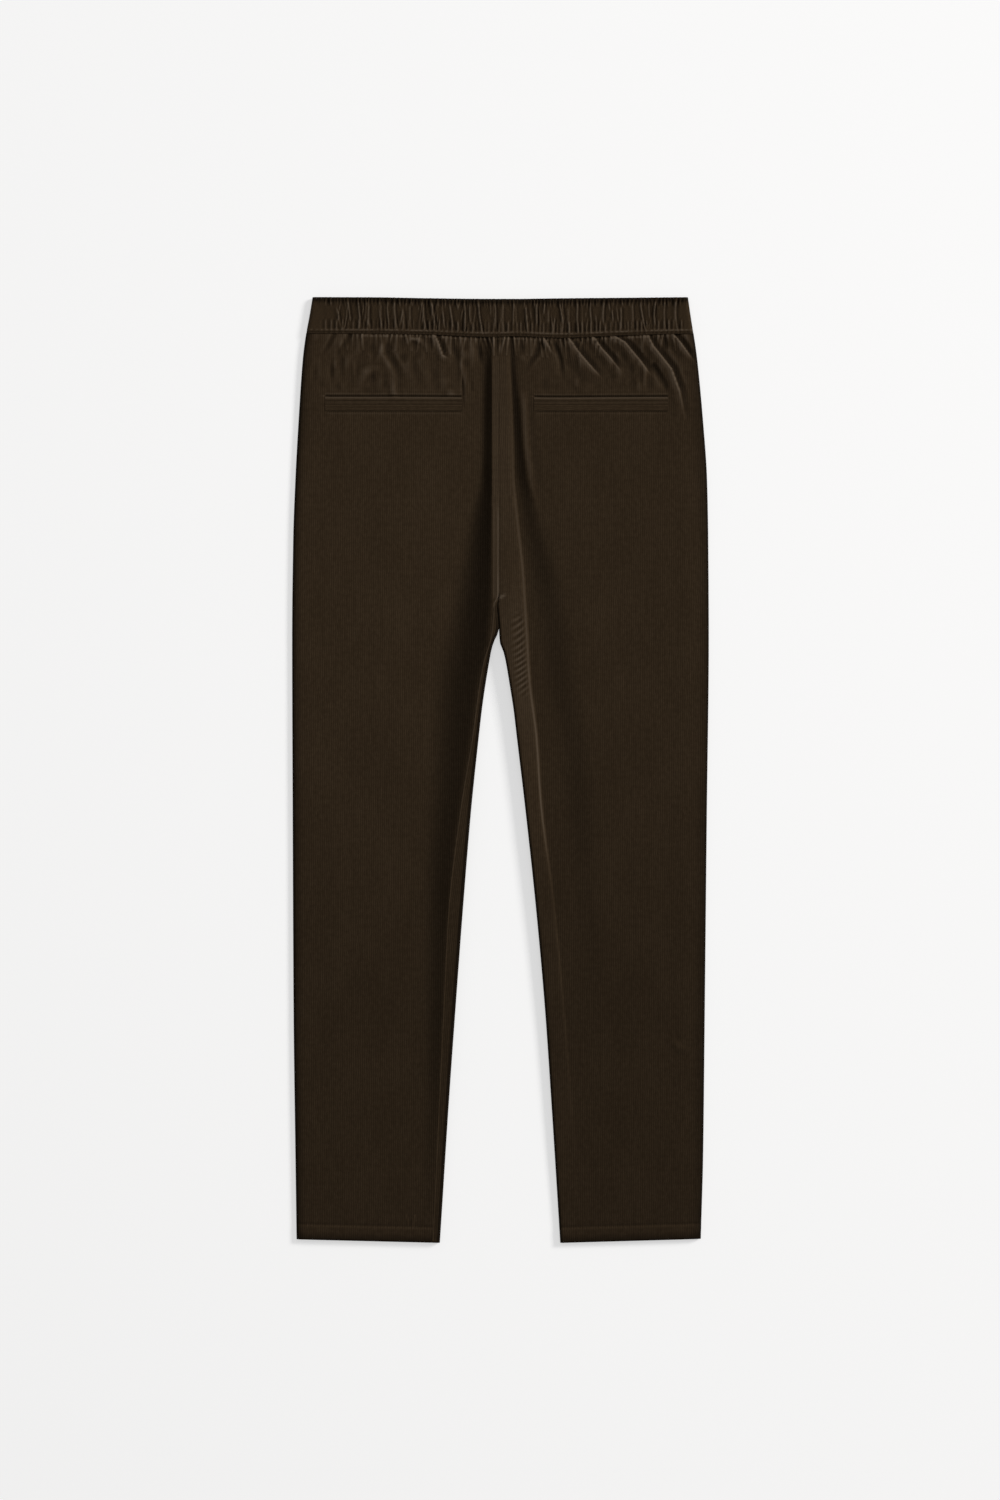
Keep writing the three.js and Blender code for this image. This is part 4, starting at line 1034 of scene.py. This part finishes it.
def bandPlace(u, share, gathered, deep=0):
    # the gathered back or the plain front under it; deep is above 0 for the inner skin
    down = 40 * share
    left, right = outerAt["left"](down), outerAt["right"](down)
    shut = bandRounding(share)
    gap, sideEnd = cut["gap"] / 2, band["sideEnd"]
    roll = deep + band["roll"] - (2 if deep else 0)
    x = stretchOver(u, [sideEnd, 1 - sideEnd], [left + roll, right - roll])
    thick = deep - 0.3 * shut if deep else 0 * shut
    level = band["level"] - (thick if deep else shut) if gathered else thick
    z = level + bandRelief(x, share) if gathered and not deep else level
    seam = band["sideHeight"] + (gap if gathered else -gap)
    for fromSide, sideX, sign in ((u, left, 1), (1 - u, right, -1)):
        turn = np.pi / 2 * part(fromSide, 0, sideEnd)
        x = np.where(fromSide < sideEnd, sideX + sign * (deep + (roll - deep) * (1 - np.cos(turn))), x)
        z = np.where(fromSide < sideEnd, seam + (level - seam) * np.sin(turn), z)
    foot = waistSeam(x) if gathered else cut["frontSeam"]
    y = cut["length"] / 2 - mix(waistEdge(x), foot - gap, share)
    return np.stack([x, y, z], axis=-1)


def bandPaintedShade(x, share):
    # painted light and shade on the gathered band: highlights on its gathers and along the stitching, and shade in
    # the hollows, towards the crimped top edge, at the foot and in the corners
    high = band["height"]
    paintedLightShade = paintedCavityShade(lambda a, b: bandRelief(a, b / high), x, share * high, [(1.6, 1.25), (4, 0.6)])
    uneven = 0.45 + 0.35 * np.sin(2 * np.pi * x / 5.5) + 0.3 * np.sin(x / 7 + 2 * np.sin(x / 19))
    paintedLightShade += 0.8 * uneven * bump(share - band["stitch"], 0.035)
    paintedLightShade -= 0.25 * bump(share - 0.955, 0.03) + 0.7 * ease(share, 0.97, 0.03)
    dots = 0.55 + 0.45 * np.sin(2 * np.pi * x / 4.0 + 2.2 * np.sin(x / 23))
    paintedLightShade -= (0.5 + 0.8 * dots) * fall(share, 0.07, 0.1) + 0.25 * fade(share / 0.25)
    corner = np.minimum(x - x.min(), x.max() - x)
    return paintedLightShade - 0.5 * fade(corner / 9) * fade(share / 0.3)


def makeBand(name, gathered, columns, rows):
    piece = newGrid(name, columns, rows)
    flat = readPoints(piece) + 0.5
    u, share = flat[:, 0], (1 - flat[:, 1] if gathered else flat[:, 1])
    share = 0.5 - 0.5 * np.cos(np.pi * share) * (0.55 + 0.45 * np.abs(np.cos(np.pi * share)))  # closer at the edges
    points, innerSkin = (bandPlace(u, share, gathered, deep) for deep in (0, band["cloth"]))
    weave = points[:, :2] * mm
    for line in np.argsort(u + flat[:, 1] * 10, kind="stable").reshape(rows + 1, columns + 1):
        steps = np.linalg.norm(np.diff(points[line], axis=0), axis=1)
        along = np.concatenate([[0], np.cumsum(steps)])
        weave[line, 0] = (along - along[-1] / 2) * mm
    paintedLightShade = bandPaintedShade(points[:, 0], share) if gathered else 0 * share
    return finishPiece(piece, points, innerSkin, band["cloth"], weave, paintedLightShade, bandCloth)


waistbandBack = makeBand("waistbandBack", True, 640, 34)
waistbandFront = makeBand("waistbandFront", False, 180, 16)

# pocket welts

def weltPlace(half, u, share, upper):
    ends = welts[half["side"]]
    out = mix(ends["from"], ends["to"], u)
    row = mix(welts["top"], welts["foot"], share)
    clear = half["height"](out, np.clip(row, welts["top"] + 1, welts["foot"] - 1), False)
    base = np.minimum(half["height"](out, row, False), clear) + welts["gap"]
    if not upper:
        return toSpace(half, out, row, base)
    rim = 0.4 * fade(share / 0.09) + 0.5 * ease(share, 0.92, 0.08)
    rim = rim + 1.1 * fade(np.minimum(u, 1 - u) * (ends["to"] - ends["from"]) / 5)
    lines = 0.22 * bump(share - 0.28, 0.06) + 0.18 * bump(share - 0.5, 0.06)
    tack = 0.3 * np.sin(out * 2.8) * ease(out, 181, 2) * bump(share - 0.35, 0.35)
    return toSpace(half, out, row, base + welts["cloth"] - rim - lines + tack * half["left"])


def makeWelt(half, name):
    piece = newGrid(name, welts["columns"], welts["rows"])
    flat = readPoints(piece) + 0.5
    u, share = flat[:, 0], flat[:, 1]
    points, innerSkin = (weltPlace(half, u, share, upper) for upper in (True, False))
    weave = points[:, 1::-1] * mm  # its wales run across the leg
    # painted light and shade on the welt: dark lines along its length as shade, a highlight along its top edge and a
    # light line below it, and shade towards its foot
    lines = sum(dark * bump(share - at, 0.09) for at, dark in ((0.27, 0.45), (0.5, 0.32), (0.74, 0.2)))
    light = 0.5 * fall(share, 0.06, 0.1) + 0.2 * bump(share - 0.39, 0.07)
    paintedLightShade = 0.06 + light - lines - 0.4 * ease(share, 0.9, 0.1)
    return finishPiece(piece, points, innerSkin, welts["cloth"], weave, paintedLightShade, legCloth, not half["left"])


weltLeft = makeWelt(leftHalf, "weltLeft")
weltRight = makeWelt(rightHalf, "weltRight")

# which solid each piece stands for, and what it was cut to

clothCuts = (  # piece, node, what it lies on, flat width and length, and area where the cut isn't a rectangle
    (backLeft, "back_left", [frontLeft], (0.245, 1.00), 0.193),
    (backRight, "back_right", [frontRight], (0.245, 1.00), 0.208),
    (frontLeft, "front_left", [], (0.245, 1.00), 0.211),
    (frontRight, "front_right", [], (0.24, 1.00), 0.202),
    (waistbandBack, "waistband_back", [waistbandFront], (0.45, 0.042), None),
    (waistbandFront, "waistband_front", [], (0.418, 0.041), None),
    (weltLeft, "welt_left", [backLeft], (0.151, 0.0162), None),
    (weltRight, "welt_right", [backRight], (0.148, 0.0158), None),
)
for piece, node, under, flat, area in clothCuts:
    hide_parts(node)
